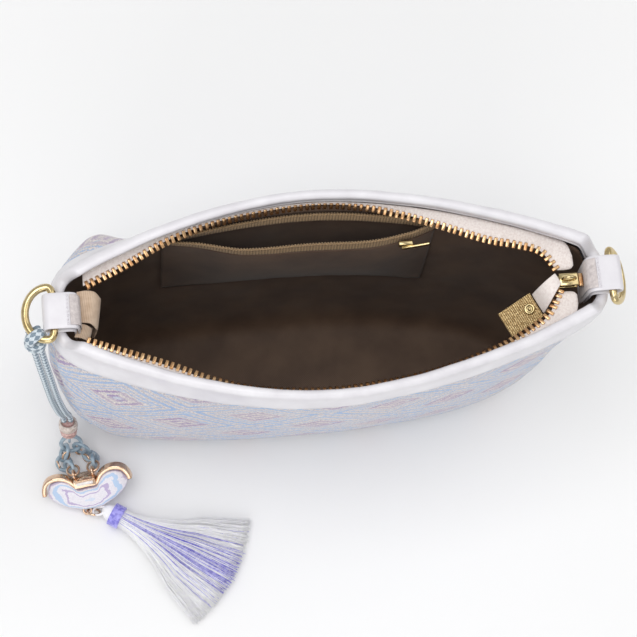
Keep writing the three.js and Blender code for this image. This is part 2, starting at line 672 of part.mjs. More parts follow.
// Folded leather tab, seen from the side: x is measured out from the side seam
function addTab(name, end, seam, shift) {
  const outer = loopHalfHeight;
  const inner = RING_WIRE / 2 + GAP;
  const fold = TAB_OUT - outer;
  const half = Array.from({ length: FOLD_STEPS + 1 }, (_, i) => (Math.PI * i) / FOLD_STEPS);
  const back = -TAB_INSET - 2 * TAB_LEATHER;
  const outline = [
    [back, -TAB_TAIL], [back, 0], [back + outer * 0.3, outer * 0.7], [back + outer, outer],
    ...half.map((turn) => [fold + outer * Math.sin(turn), outer * Math.cos(turn)]),
    [-TAB_INSET, -outer], [-TAB_INSET, -TAB_TAIL],
  ];
  const slot = [
    ...half.map((turn) => [fold + inner * Math.sin(turn), -inner * Math.cos(turn)]),
    ...half.map((turn) => [-inner * Math.sin(turn), inner * Math.cos(turn)]),
  ];
  const flip = (pairs) => pairs.map(([x, y]) => [end * x, y]);
  const geometry = slab(flip(outline), TAB_WIDTH, [flip(slot)]).rotateX(Math.PI / 2);
  const tab = addPiece(name, geometry, finishes.leather);
  tab.position.set(seam, shift, barHeight);
}

// Flat loop of the D ring: x out from its bar, y along the bar
function ringPath() {
  const depth = RING_DEPTH - RING_WIRE;
  const half = (RING_WIDTH - RING_WIRE) / 2;
  const straight = half - RING_CORNER;
  const corner = (side, turn) => [
    RING_CORNER * (1 - Math.cos(turn)),
    side * (straight + RING_CORNER * Math.sin(turn)),
  ];
  const bend = [0, 30, 60, 90].map((turn) => turn * DEGREE);
  const bow = Array.from({ length: RING_STATIONS }, (_, i) => (Math.PI * (i + 1)) / (RING_STATIONS + 1));
  return [
    [0, 0],
    ...bend.map((turn) => corner(1, turn)),
    ...bow.map((turn) => [
      RING_CORNER + (depth - RING_CORNER) * Math.sin(turn),
      half * Math.cos(turn),
    ]),
    ...bend.toReversed().map((turn) => corner(-1, turn)),
  ];
}

function addRingsAndTabs() {
  addTab("left_tab", -1, leftSeam, 0);
  addTab("right_tab", 1, rightSeam, RIGHT_TAB_SHIFT);
  const wire = hoop(ringPath(), RING_WIRE, WIRE_SIDES);
  const right = addPiece("right_ring", wire.clone(), finishes.gold);
  right.position.set(rightSeam + BAR_OUT, RIGHT_TAB_SHIFT, barHeight);
  right.rotation.y = RIGHT_RING_HANG * DEGREE;

  // the left ring lies out level, with the cord's knot tied round it
  const left = addPiece("left_ring", wire.clone(), finishes.gold);
  left.position.set(leftSeam - BAR_OUT, 0, barHeight);
  left.rotation.set(0, -LEFT_RING_HANG * DEGREE, Math.PI, "YXZ");
  left.updateMatrixWorld();
  const channel = hoop(ringPath(), RING_WIRE + 2 * GAP, WIRE_SIDES).applyMatrix4(left.matrixWorld);
  const knot = new THREE.SphereGeometry(KNOT_DIAMETER / 2, 12, 8).rotateX(Math.PI / 2);
  knot.scale(1, 1, KNOT_HEIGHT / KNOT_DIAMETER).translate(...KNOT_CENTRE.toArray());
  addPiece("cord_knot", cut(knot, channel), finishes.cord);
}

function addCord() {
  const strand = new THREE.Shape(
    oval(CORD_DIAMETER / 2, CORD_DIAMETER / 2, CORD_SIDES).map(([x, y]) => new THREE.Vector2(x, y)),
  );
  const apart = (CORD_DIAMETER + GAP) / 2;
  for (const [name, side] of [["cord_strand_left", -1], ["cord_strand_right", 1]]) {
    const route = CORD_ROUTE.map(([x, y, z]) => new THREE.Vector3(x + side * apart, y, z));
    const tube = new THREE.ExtrudeGeometry(strand, {
      steps: CORD_STEPS,
      extrudePath: new THREE.CatmullRomCurve3(route),
    });
    addPiece(name, tube, finishes.cord);
  }
}

function addBead() {
  const radius = BEAD_DIAMETER / 2;
  const profile = BEAD_PROFILE.map(
    ({ out, along }) => new THREE.Vector2(out * radius, along * BEAD_LENGTH),
  );
  const barrel = new THREE.LatheGeometry(profile, 12).rotateX(Math.PI / 2);
  const eye = hoop(oval(EYE_DIAMETER / 2, EYE_DIAMETER / 2, LINK_STATIONS), EYE_WIRE, LINK_SIDES);
  eye.rotateY(Math.PI / 2).translate(0, 0, -BEAD_LENGTH / 2 - EYE_DIAMETER / 2 + EYE_WIRE / 4);
  const bead = addPiece("cord_bead", fuse(barrel, eye), finishes.bead);
  bead.position.copy(BEAD_CENTRE);
  bead.rotation.x = -BEAD_TILT * DEGREE;
}

// A link whose wire holds on at two points, turned square to the wire that it holds
function linkShape(from, to, width, wire, beside) {
  const ahead = to.clone().sub(from);
  const halfLength = (ahead.length() + (wire + GAP) * LINK_SLACK) / 2;
  ahead.normalize();
  const sideways = ahead.clone().cross(beside).normalize();
  const halfWidth = (width - wire) / 2;
  const path = oval(1, 1, LINK_STATIONS).map(([x, y]) => [
    Math.sign(x) * Math.abs(x) ** LINK_SQUARE * Math.max(halfLength, halfWidth),
    Math.sign(y) * Math.abs(y) ** LINK_SQUARE * halfWidth,
  ]);
  const turned = new THREE.Matrix4().makeBasis(ahead, sideways, ahead.clone().cross(sideways));
  turned.setPosition(from.clone().lerp(to, 0.5));
  return { shape: hoop(path, wire, LINK_SIDES).applyMatrix4(turned), sideways };
}

function addChain(eyes) {
  const place = (point) => new THREE.Vector3(...point);
  const [top, foot] = CHAIN_TOP.map(place);
  const first = linkShape(foot, top, ROUND_LINK, LINK_WIRE, new THREE.Vector3(0, 1, 0));
  addPiece("chain_link_top", first.shape, finishes.link);
  const sides = [
    ["left", CHAIN_LEFT.map(place), eyes.left],
    ["right", CHAIN_RIGHT.map(place), eyes.right],
  ];
  for (const [side, places, eye] of sides) {
    const last = places.length - 1;
    const jump = linkShape(places[last], eye, JUMP_RING, JUMP_WIRE, eyes.rise);
    addPiece(`jump_ring_${side}`, jump.shape, finishes.frame);
    let beside = jump.sideways;
    for (let i = last; i > 0; i -= 1) {
      const link = linkShape(places[i - 1], places[i], LINK_WIDTH, LINK_WIRE, beside);
      addPiece(`chain_link_${side}_${i}`, link.shape, finishes.link);
      beside = link.sideways;
    }
  }
}

// The charm: a padded brocade body in a gold frame that runs over its top edge
function addLock() {
  const charm = new THREE.Group();
  charm.position.copy(LOCK_CENTRE);
  charm.rotation.set((90 - LOCK_LEAN) * DEGREE, 0, LOCK_YAW * DEGREE, "ZXY");
  const face = new THREE.Group();
  face.rotation.z = LOCK_SPIN * DEGREE;
  charm.add(face);
  purse.add(charm);

  const along = stations(LOCK_STATIONS);
  const edge = (column, inset, lower) =>
    along.map((at) => [
      (at * (LOCK_WIDTH - 2 * inset)) / 2,
      blend(LOCK_LINE, column, Math.abs(at)) * LOCK_HEIGHT - lower,
    ]);
  const seam = FRAME_WALL + 2 * GAP;
  const upper = edge("top", seam, seam);
  const pad = loft(
    edge("foot", seam, 0).map(([x, low], i) => {
      const high = upper[i][1];
      const swell = (1 - 0.9 * Math.abs(along[i]) ** 5) * (LOCK_THICKNESS / 2);
      return oval(1, 1, PAD_SIDES).map(([out, up]) => {
        const y = (low + high) / 2 + (Math.sign(up) * Math.abs(up) ** PAD_SQUARE * (high - low)) / 2;
        return new THREE.Vector3(x, y, Math.sign(out) * Math.abs(out) ** PAD_SQUARE * swell);
      });
    }),
  );
  const eyeOval = oval((EYE_DIAMETER - EYE_WIRE) / 2, (EYE_DIAMETER - EYE_WIRE) / 2, LINK_STATIONS);
  const footEye = hoop(eyeOval, EYE_WIRE, LINK_SIDES);
  const footMiddle = LOCK_LINE[0].foot * LOCK_HEIGHT;
  footEye.translate(FOOT_EYE_SHIFT, footMiddle - EYE_DIAMETER / 2 + EYE_WIRE, 0);
  addPiece("lock_pad", fuse(pad, footEye), finishes.brocade, face);

  const ribbon = [...edge("top", FRAME_WALL, FRAME_WALL), ...edge("top", 0, 0).reverse()];
  const arch = slab(ribbon, LOCK_THICKNESS + 2 * FRAME_LIP);
  const dip = LOCK_LINE[0].top * LOCK_HEIGHT;
  const lift = dip + CLASP_LIFT;
  const clasp = box(CLASP_LENGTH, CLASP_HEIGHT, LOCK_THICKNESS + 3 * FRAME_LIP, 0, lift, 0);
  const eyeLift = lift + (CLASP_HEIGHT + EYE_DIAMETER - EYE_WIRE) / 2;
  const reach = (CLASP_LENGTH - EYE_WIRE) / 2;
  const post = (side) => {
    const eye = hoop(eyeOval, EYE_WIRE, LINK_SIDES).rotateY(Math.PI / 2);
    return eye.translate(side * reach, eyeLift, 0);
  };
  addPiece("lock_frame", fuse(arch, clasp, post(-1), post(1)), finishes.frame, face);

  face.updateWorldMatrix(true, false);
  const hold = EYE_WIRE + GAP / 2 - EYE_DIAMETER / 2;
  return {
    left: face.localToWorld(new THREE.Vector3(-reach, eyeLift, hold)),
    right: face.localToWorld(new THREE.Vector3(reach, eyeLift, hold)),
    rise: new THREE.Vector3(0, 1, 0).transformDirection(face.matrixWorld),
    front: new THREE.Vector3(0, 0, 1).transformDirection(face.matrixWorld),
  };
}

// The tassel lies on the floor: a bound head and a fan of silk locks
function addTassel(front) {
  const tassel = new THREE.Group();
  tassel.position.copy(TASSEL_PLACE);
  tassel.rotation.z = TASSEL_YAW * DEGREE;
  purse.add(tassel);
  const bound = (length, from, to) => {
    const shape = new THREE.CylinderGeometry(to, from, length, 12);
    return shape.rotateZ(-Math.PI / 2);
  };
  const head = bound(TASSEL_HEAD, NECK_RADIUS * 0.5, NECK_RADIUS * 1.05);
  head.translate(-BAND_LENGTH / 2 - GAP - TASSEL_HEAD / 2, 0, 0);
  const neck = bound(BAND_LENGTH + 2 * GAP, NECK_RADIUS, NECK_RADIUS);
  const locks = Array.from({ length: SKIRT_LOCKS }, (_, i) => {
    const fan = (i / (SKIRT_LOCKS - 1) - 0.5) * SKIRT_SPREAD * DEGREE;
    return skirtLock(fan, i % 2);
  });
  const [near, far] = TASSEL_RING.map((point) => new THREE.Vector3(...point));
  const pull = near.clone().sub(far).cross(front).normalize();
  const ring = linkShape(near, far, JUMP_RING, JUMP_WIRE, pull);
  addPiece("tassel_ring", ring.shape, finishes.frame);
  tassel.updateMatrixWorld();
  const toTassel = tassel.matrixWorld.clone().invert();
  const headTip = new THREE.Vector3(-BAND_LENGTH / 2 - TASSEL_HEAD, 0, 0);
  const beside = ring.sideways.clone().transformDirection(toTassel);
  const loop = linkShape(far.clone().applyMatrix4(toTassel), headTip, SILK_LOOP, SILK_WIRE, beside);
  const whole = fuse(head, neck, loop.shape, ...locks);
  addPiece("tassel", whole, finishes.silk, tassel);
  const sleeve = new THREE.LatheGeometry(
    [
      [NECK_RADIUS + GAP, -1], [NECK_RADIUS + GAP + BAND_WALL, -1],
      [NECK_RADIUS + GAP + BAND_WALL, 1], [NECK_RADIUS + GAP, 1], [NECK_RADIUS + GAP, -1],
    ].map(([x, side]) => new THREE.Vector2(x, (side * BAND_LENGTH) / 2)),
    12,
  );
  addPiece("tassel_band", sleeve.rotateZ(-Math.PI / 2), finishes.violet, tassel);
}

// One lock of the skirt: it leaves the neck, spreads, thins and sinks to the floor
function skirtLock(fan, odd) {
  const loops = SKIRT_LINE.map(({ at, wide, thick, rise }) => {
    const start = BAND_LENGTH / 2 - GAP;
    const reach = start + at * (SKIRT_LENGTH - odd * SKIRT_STAGGER);
    const turn = fan * Math.min(at * 1.6 + 0.15, 1);
    const centre = new THREE.Vector3(
      start + (reach - start) * Math.cos(fan * at),
      (reach - start) * Math.sin(turn),
      rise * NECK_RADIUS,
    );
    return oval(0.5, 0.5, LOCK_SIDES).map(([y, z]) => {
      const offset = new THREE.Vector3(0, y * wide * NECK_RADIUS, z * thick * NECK_RADIUS);
      return offset.applyAxisAngle(new THREE.Vector3(0, 0, 1), fan).add(centre);
    });
  });
  return loft(loops);
}

addBag();
addRims();
addZip();
addSlider();
addPull();
addPocket();
addRingsAndTabs();
addCord();
addBead();
const eyes = addLock();
addChain(eyes);
addTassel(eyes.front);

export default purse;
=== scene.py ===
import math

import bmesh
import bpy
import numpy as np
from mathutils import Matrix, Quaternion, Vector, noise


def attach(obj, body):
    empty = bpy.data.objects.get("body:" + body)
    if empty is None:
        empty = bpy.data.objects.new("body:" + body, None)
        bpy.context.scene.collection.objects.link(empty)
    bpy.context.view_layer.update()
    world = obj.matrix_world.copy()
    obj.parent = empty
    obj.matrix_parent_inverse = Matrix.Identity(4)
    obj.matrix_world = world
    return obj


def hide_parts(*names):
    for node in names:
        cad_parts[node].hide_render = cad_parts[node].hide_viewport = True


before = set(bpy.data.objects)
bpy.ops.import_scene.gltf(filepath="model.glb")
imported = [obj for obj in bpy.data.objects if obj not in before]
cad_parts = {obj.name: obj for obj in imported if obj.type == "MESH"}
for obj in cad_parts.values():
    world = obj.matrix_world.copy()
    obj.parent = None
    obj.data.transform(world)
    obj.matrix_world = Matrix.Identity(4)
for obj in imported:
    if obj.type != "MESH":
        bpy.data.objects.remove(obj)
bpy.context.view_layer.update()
bpy.ops.object.select_all(action="DESELECT")

# Camera
# It stands almost over the purse, a little to the front and left, and leans over so that
# the open mouth runs across the picture.
CAMERA_AZIMUTH = math.radians(-20.25)
CAMERA_ELEVATION = math.radians(72.54)
CAMERA_ROLL = math.radians(15.58)
CAMERA_DISTANCE = 0.92864
CAMERA_TARGET = Vector((-0.00068, 0.00776, 0.06622))
CAMERA_LENS = 121.25

backwards = Vector((
    math.sin(CAMERA_AZIMUTH) * math.cos(CAMERA_ELEVATION),
    -math.cos(CAMERA_AZIMUTH) * math.cos(CAMERA_ELEVATION),
    math.sin(CAMERA_ELEVATION),
))
bpy.ops.object.camera_add(location=CAMERA_TARGET + backwards * CAMERA_DISTANCE)
camera = bpy.context.object
camera.rotation_mode = "QUATERNION"
camera.rotation_quaternion = (-backwards).to_track_quat("-Z", "Y") @ Quaternion((0, 0, 1), CAMERA_ROLL)
camera.data.lens = CAMERA_LENS
camera.data.sensor_width = 36
bpy.context.scene.camera = camera

# Cord
# Two braided cords of blue-grey and white yarn hang side by side from a knot round the
# left ring down to a bead, and were plaited on a round braider.
MM = 0.001
CORD_DIAMETER = 2.6
CORD_GAP = 0.3
BRAID_LOBES = 4
BRAID_PITCH = 2.4
BRAID_CORE, BRAID_RISE = 0.86, 0.2  # shares of the radius
CORD_STATIONS, CORD_SIDES = 300, 24
PATH_STEPS = 24  # between two given points
CORD_ROUTE = [
    (-120.9, -9.6, 111.8), (-120.5, -10.6, 108.4), (-120.0, -11.8, 103.6),
    (-119.4, -13.2, 97.6), (-118.7, -14.6, 91.0), (-118.0, -15.8, 84.0),
    (-117.4, -16.8, 76.8), (-116.8, -17.6, 69.4), (-116.2, -18.2, 62.0),
    (-115.5, -18.6, 54.6), (-114.7, -18.8, 47.2), (-113.9, -18.8, 40.2),
    (-113.1, -18.5, 34.0), (-112.3, -18.0, 28.8), (-111.8, -19.0, 24.2),
]


def paint(code):
    """A linear colour from an sRGB hex code."""
    shares = [int(code[i:i + 2], 16) / 255 for i in (1, 3, 5)]
    return [s / 12.92 if s <= 0.04045 else ((s + 0.055) / 1.055) ** 2.4 for s in shares] + [1]


def add_node(tree, kind, inputs, **settings):
    """Adds a shader node; each input takes a value or another node's socket."""
    made = tree.nodes.new("ShaderNode" + kind)
    for name, value in settings.items():
        setattr(made, name, value)
    for socket, value in inputs.items():
        if isinstance(value, bpy.types.NodeSocket):
            tree.links.new(value, made.inputs[socket])
        else:
            made.inputs[socket].default_value = value
    return made


def new_material(name, **sockets):
    """A material with its shader's plain values set, and its tree and shader."""
    material = bpy.data.materials.new(name)
    material.use_nodes = True
    tree = material.node_tree
    shader = tree.nodes["Principled BSDF"]
    for socket, value in sockets.items():
        shader.inputs[socket.replace("_", " ")].default_value = value
    return material, tree, shader


def compute(tree, operation, *values):
    """The result of a math node on values or sockets."""
    return add_node(tree, "Math", dict(enumerate(values)), operation=operation).outputs[0]


def parts(tree, source):
    """The three parts of a vector or colour."""
    return add_node(tree, "SeparateXYZ", {0: source}).outputs


def ramp(tree, source, *stops):
    """A colour between two stops, each a place and a hex code."""
    made = add_node(tree, "ValToRGB", {0: source})
    for element, (place, code) in zip(made.color_ramp.elements, stops):
        element.position, element.color = place, paint(code)
    return made.outputs[0]


def layout(tree, name):
    """Where a pattern lies: by "object", in metres, or by the piece's own "uv" map."""
    if name == "uv":
        return add_node(tree, "UVMap", {}).outputs[0]
    return add_node(tree, "TexCoord", {}).outputs["Object"]


def texture(tree, kind, place, scale, direction=None, **inputs):
    """A texture's strength; its place is the name of a layout or a socket."""
    if isinstance(place, str):
        place = layout(tree, place)
    settings = {"bands_direction": direction} if direction else {}
    made = add_node(tree, "Tex" + kind, {"Vector": place, "Scale": scale, **inputs}, **settings)
    return made.outputs.get("Fac") or made.outputs[0]


def connect(tree, shader, height=None, strength=0.0, depth=0.0, **sockets):
    """Links sockets to the shader, and a relief of that strength and depth in millimetres."""
    if height is not None:
        relief = {"Height": height, "Strength": strength, "Distance": depth * MM}
        sockets["Normal"] = add_node(tree, "Bump", relief).outputs[0]
    for name, source in sockets.items():
        tree.links.new(source, shader.inputs[name.replace("_", " ")])


def lengths(points):
    """The distance along a row of points, from its first."""
    steps = np.linalg.norm(np.diff(points, axis=0), axis=1)
    return np.concatenate([[0], np.cumsum(steps)])


def smooth_path(points, count):
    """Points at even steps on a smooth curve through the given ones."""
    given = np.array(points, float)
    padded = np.vstack([2 * given[0] - given[1], given, 2 * given[-1] - given[-2]])
    t = np.linspace(0, 1, PATH_STEPS, endpoint=False)[:, None]
    curve = []
    for a, b, c, d in zip(padded, padded[1:], padded[2:], padded[3:]):
        curve.append(b + (c - a) * t / 2 + (a - 2.5 * b + 2 * c - d / 2) * t**2
                     + (1.5 * (b - c) + (d - a) / 2) * t**3)
    dense = np.vstack([*curve, given[-1]])
    along = lengths(dense)
    even = np.linspace(0, along[-1], count)
    return np.stack([np.interp(even, along, dense[:, k]) for k in range(3)], 1)


def new_piece(name, points, faces):
    """A piece from its points in metres and its faces."""
    mesh = bpy.data.meshes.new(name)
    mesh.from_pydata(points.tolist(), [], faces)
    piece = bpy.data.objects.new(name, mesh)
    bpy.context.scene.collection.objects.link(piece)
    return piece


def grid_mesh(name, points, uv=None, wrap=False, caps=False):
    """A surface through rows of points in millimetres; wrap joins its last column to the first."""
    rows, columns = points.shape[:2]
    across = columns if wrap else columns - 1
    i, j = (a.ravel() for a in np.meshgrid(np.arange(rows - 1), np.arange(across), indexing="ij"))
    k = (j + 1) % columns
    faces = np.stack([i * columns + j, i * columns + k, (i + 1) * columns + k,
                      (i + 1) * columns + j], 1).tolist()
    if caps:
        faces += [list(range(columns))[::-1], list(range((rows - 1) * columns, rows * columns))]
    piece = new_piece(name, points.reshape(-1, 3) * MM, faces)
    if uv is not None:
        corners = np.stack([uv[i, j], uv[i, j + 1], uv[i + 1, j + 1], uv[i + 1, j]], 1).reshape(-1, 2)
        ends = np.zeros((len(piece.data.loops) - len(corners), 2))
        layer = piece.data.uv_layers.new(name="UVMap")
        layer.data.foreach_set("uv", np.vstack([corners, ends]).ravel())
    return piece


def settle(piece, merge=1e-6):
    """Merges doubled points, turns every face outwards and shades it smooth."""
    work = bmesh.new()
    work.from_mesh(piece.data)
    bmesh.ops.remove_doubles(work, verts=work.verts, dist=merge)
    bmesh.ops.recalc_face_normals(work, faces=work.faces)
    work.to_mesh(piece.data)
    work.free()
    piece.data.shade_smooth()
    return piece


def dress(piece, material, slot_name, *nodes, body="purse"):
    """Gives a finished piece its material and body, and hides the solids it stands for; slot_name is not
    used.
    """
    piece.data.materials.clear()
    piece.data.materials.append(material)
    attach(piece, body)
    if nodes:
        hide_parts(*nodes)


def headings(path):
    """Unit vectors along a path, one at each of its points."""
    ahead = np.gradient(path, axis=0)
    return ahead / np.linalg.norm(ahead, axis=1)[:, None]


def tube(name, path, radius, sides, ridges=None):
    """A round cord along a path. Its UV map is the share round it and metres along it."""
    ahead = headings(path)
    side = np.cross(ahead[0], [0.13, 0.21, 0.97])
    turns = np.linspace(0, 1, sides + 1)
    along = lengths(path)
    rows = []
    for point, tangent, reach in zip(path, ahead, along):
        side = side - tangent * (tangent @ side)
        side /= np.linalg.norm(side)
        up = np.cross(tangent, side)
        angle = 2 * math.pi * turns[:-1, None]
        size = radius * (1 if ridges is None else ridges(turns[:-1], reach)[:, None])
        rows.append(point + size * (np.cos(angle) * side + np.sin(angle) * up))
    uv = np.stack(np.meshgrid(along * MM, turns, indexing="ij")[::-1], -1)
    return settle(grid_mesh(name, np.array(rows), uv, wrap=True, caps=True))


def braid(turn, along):
    """How far each place on a braided cord stands out, as a share of its radius."""
    ridge = np.abs(np.sin(math.pi * (BRAID_LOBES * turn + along / BRAID_PITCH)))
    ridge = ridge * np.abs(np.sin(math.pi * (BRAID_LOBES * turn - along / BRAID_PITCH)))
    return BRAID_CORE + BRAID_RISE * np.sqrt(ridge)


# Braided polyester yarn: every second lobe of the braid is white, and the fine fibres run
# along each lobe and catch the light.
braided_yarn, tree, shader = new_material("braided_polyester_yarn", Roughness=0.55,
                                          Sheen_Weight=0.3, Sheen_Roughness=0.4)
turn, along = parts(tree, layout(tree, "uv"))[:2]
lobes = compute(tree, "MULTIPLY", turn, BRAID_LOBES)
pitches = compute(tree, "DIVIDE", along, BRAID_PITCH * MM)
families = [compute(tree, "FLOOR", compute(tree, operation, lobes, pitches))
            for operation in ("ADD", "SUBTRACT")]
white_lobe = compute(tree, "PINGPONG", compute(tree, "ADD", *families), 1.0)
fibre = texture(tree, "Noise", "object", 2600.0, Detail=2.0)
speckle = compute(tree, "MULTIPLY_ADD", fibre, 0.42, compute(tree, "MULTIPLY", white_lobe, 0.55))
connect(tree, shader, fibre, 0.5, 0.1,
        Base_Color=ramp(tree, speckle, (0.1, "#5F7486"), (0.85, "#DCE6EC")))

for side, node in ((-1, "cord_strand_left"), (1, "cord_strand_right")):
    shift = side * (CORD_DIAMETER + CORD_GAP) / 2
    route = smooth_path([(x + shift, y, z) for x, y, z in CORD_ROUTE], CORD_STATIONS)
    strand = tube(node.replace("strand", "braid"), route, CORD_DIAMETER / 2, CORD_SIDES, braid)
    dress(strand, braided_yarn, "cord", node)

# Knot
# The cord is wound twice round the ring's wire and more than three times round itself, and
# pulled tight into a chunky knot.
KNOT_CENTRE = np.array([-121.0, -9.0, 119.6])
KNOT_WRAP = 3.0
KNOT_CORD = 1.6
KNOT_TURNS = 3.4
KNOT_FOOT, KNOT_TOP = -6.1, 1.6  # from its centre
KNOT_SIDES = 20
RING_CROSSING = np.array([-121.2, -9.0, 123.6])
RING_DIRECTION = np.array([-0.62, 0.78, 0.08])
HITCH_TURNS = 2.05
HITCH_REACH = 1.6  # to each side along the ring
HITCH_CORD = 0.94 * KNOT_CORD


def join(first, *others):
    """Makes several finished meshes one piece."""
    bpy.ops.object.select_all(action="DESELECT")
    for piece in (first, *others):
        piece.select_set(True)
    bpy.context.view_layer.objects.active = first
    bpy.ops.object.join()
    return first


turn = np.linspace(0, 2 * math.pi * KNOT_TURNS, 170)
lift = np.linspace(KNOT_FOOT, KNOT_TOP, len(turn))
winding = KNOT_CENTRE + np.stack([
    (KNOT_WRAP + 0.25 * np.sin(turn * 0.7)) * np.cos(turn),
    (KNOT_WRAP + 0.25 * np.cos(turn * 0.9)) * np.sin(turn),
    lift + 0.5 * np.sin(turn + 0.6),
], 1)
knot = tube("cord_wraps", winding, KNOT_CORD, KNOT_SIDES, braid)
across = np.cross(RING_DIRECTION, [0, 0, 1])
across /= np.linalg.norm(across)
upright = np.cross(across, RING_DIRECTION)
turn = np.linspace(0, 2 * math.pi * HITCH_TURNS, 110)
hitch = (RING_CROSSING + np.outer(np.cos(turn) * KNOT_WRAP, across)
         + np.outer(np.sin(turn) * KNOT_WRAP, upright)
         + np.outer(np.linspace(-HITCH_REACH, HITCH_REACH, len(turn)), RING_DIRECTION))
join(knot, tube("ring_hitch", hitch, HITCH_CORD, KNOT_SIDES, braid))
dress(knot, braided_yarn, "cord", "cord_knot")

# Fabric bag
# One piece of woven brocade wraps under the base and up both sides. Blue and lilac yarn
# draws lozenges on a silvery ground, and soft folds run from the pinched ends.
GAP = 0.3
BODY_HEIGHT = 130
HALF_WIDTH = 112
MOUTH_HALF_DEPTH = 44
FABRIC_WALL = 1.6
BAND_HEIGHT = 15
BAND_FOOT = BODY_HEIGHT - BAND_HEIGHT
CREST_SHIFT = -0.06
CROWN_POWER = 1.8
# share of the height, left and right ends, then front left, middle and right and back
# left, middle and right depths, corner and edge
SECTIONS = np.array([
    (0.00, 0.910, 0.820, 0.455, 0.580, 0.340, 0.455, 0.545, 0.340, 7, 0.50),
    (0.06, 0.955, 0.865, 0.570, 0.670, 0.410, 0.570, 0.660, 0.410, 7, 0.50),
    (0.25, 1.018, 0.930, 0.660, 0.790, 0.410, 0.680, 0.770, 0.455, 8, 0.50),
    (0.55, 1.045, 0.973, 0.570, 0.920, 0.340, 0.770, 0.860, 0.455, 9, 0.46),
    (0.80, 1.036, 1.009, 0.400, 0.975, 0.300, 0.640, 0.955, 0.380, 16, 0.36),
    (0.93, 1.009, 1.018, 0.330, 1.000, 0.290, 0.410, 1.000, 0.340, 28, 0.28),
    (1.00, 1.000, 1.018, 0.310, 1.000, 0.290, 0.300, 1.000, 0.330, 40, 0.25),
])
# down from the pinched ends: edge, start, further reach, bend, width, height and fading
CREASES = (("left", 8, 34, 1.4, 2.6, -1.7, 0.8), ("left", 14, 36, 1.4, 5.0, 0.9, 0.6),
           ("right", 9, 26, 1.3, 2.4, -1.1, 0.7))
BULGE_DEPTH, BULGE_CENTRE, BULGE_WIDTH = 7.5, -95, 11
OUTLINE_STATIONS = 1201
FABRIC_COLUMNS = 236
FABRIC_ROWS = 58
BASE_ROWS = 17


def blend(table, at):
    """A smooth curve through the rows of a table, by its first column."""
    at = np.asarray(at, float)
    first = np.clip(np.searchsorted(table[:, 0], at) - 1, 0, len(table) - 2)
    before, start, end, after = (table[np.clip(first + k, 0, len(table) - 1)] for k in (-1, 0, 1, 2))
    span = (end - start)[..., :1]
    s = np.clip((at[..., None] - start[..., :1]) / span, 0, 1)
    rise = (end - before) / (end - before)[..., :1] * span
    fall = (after - start) / (after - start)[..., :1] * span
    return (start * (2 * s**3 - 3 * s**2 + 1) + rise * (s**3 - 2 * s**2 + s)
            + end * (3 * s**2 - 2 * s**3) + fall * (s**3 - s**2))


def wall_ends(z):
    """The middle and the half width of the bag at a height."""
    row = blend(SECTIONS, z / BODY_HEIGHT)
    return (row[..., 2] - row[..., 1]) / 2 * HALF_WIDTH, (row[..., 2] + row[..., 1]) / 2 * HALF_WIDTH


def wall_points(side, u, z, inset):
    """Points on the wall at shares u of its half width and heights z, set in from outside."""
    u, z, inset = np.broadcast_arrays(np.asarray(u, float), z, inset)
    row = blend(SECTIONS, z / BODY_HEIGHT)
    left, middle, right = (row[..., (3 if side == "front" else 6) + k] for k in range(3))
    cap = np.maximum(1 - np.abs(u) ** row[..., 9], 0) ** row[..., 10]
    crest = CREST_SHIFT * z / BODY_HEIGHT
    away = np.where(u > crest, (u - crest) / (1 - crest), (crest - u) / (1 + crest))
    end = np.where(u > crest, right, left)
    depth = (end + (middle - end) * (1 - np.minimum(away, 1) ** CROWN_POWER)) * MOUTH_HALF_DEPTH
    y = (depth - inset) * cap * (-1 if side == "front" else 1)
    centre, half = wall_ends(z)
    return np.stack([centre + (half - inset) * u, y, z], -1)


def even_shares(side, z, inset, count):
    """Shares of the half width that cut one outline into equal lengths."""
    t = np.linspace(-1, 1, OUTLINE_STATIONS)
    u = np.sign(t) * (1 - (1 - np.abs(t)) ** 3)
    along = lengths(wall_points(side, u, z, inset))
    return np.interp(np.linspace(0, along[-1], count), along, u)


def surface_normals(points):
    """Unit vectors square to a surface of rows and columns."""
    normal = np.cross(np.gradient(points, axis=1), np.gradient(points, axis=0))
    return normal / np.maximum(np.linalg.norm(normal, axis=-1, keepdims=True), 1e-9)


def ripple(points, size, seed):
    """Smooth noise from -1 to 1 at each point, in lumps of about that size."""
    flat = [noise.noise(Vector(p) / size + Vector((seed, 0, 0))) for p in points.reshape(-1, 3)]
    return np.array(flat).reshape(points.shape[:-1])


def bag_sheet(top, inset, floor, columns, rows, base_rows):
    """The sheet of a bag: down its front, under its base and up its back, by columns."""
    sheets = {}
    for side in ("front", "back"):
        sheet = []
        for share in np.linspace(0, 1, rows):
            u = even_shares(side, floor + share * (BAND_FOOT - floor), inset, columns)
            z = floor + share * (top(u) - floor)
            sheet.append(wall_points(side, u, z, inset))
        sheets[side] = sheet
    front, back = sheets["front"], sheets["back"]
    shares = np.linspace(0, 1, base_rows + 1)[1:-1]
    base = [front[0] + (back[0] - front[0]) * share for share in shares]
    points = np.array(front[::-1] + base + back)
    for _ in range(5):
        points[1:-1] = (points[:-2] + 2 * points[1:-1] + points[2:]) / 4
    return points


def add_modifier(piece, kind, **settings):
    """Puts a modifier on a piece and applies it."""
    modifier = piece.modifiers.new(kind.title(), kind)
    for name, value in settings.items():
        setattr(modifier, name, value)
    bpy.context.view_layer.objects.active = piece
    bpy.ops.object.modifier_apply(modifier=modifier.name)


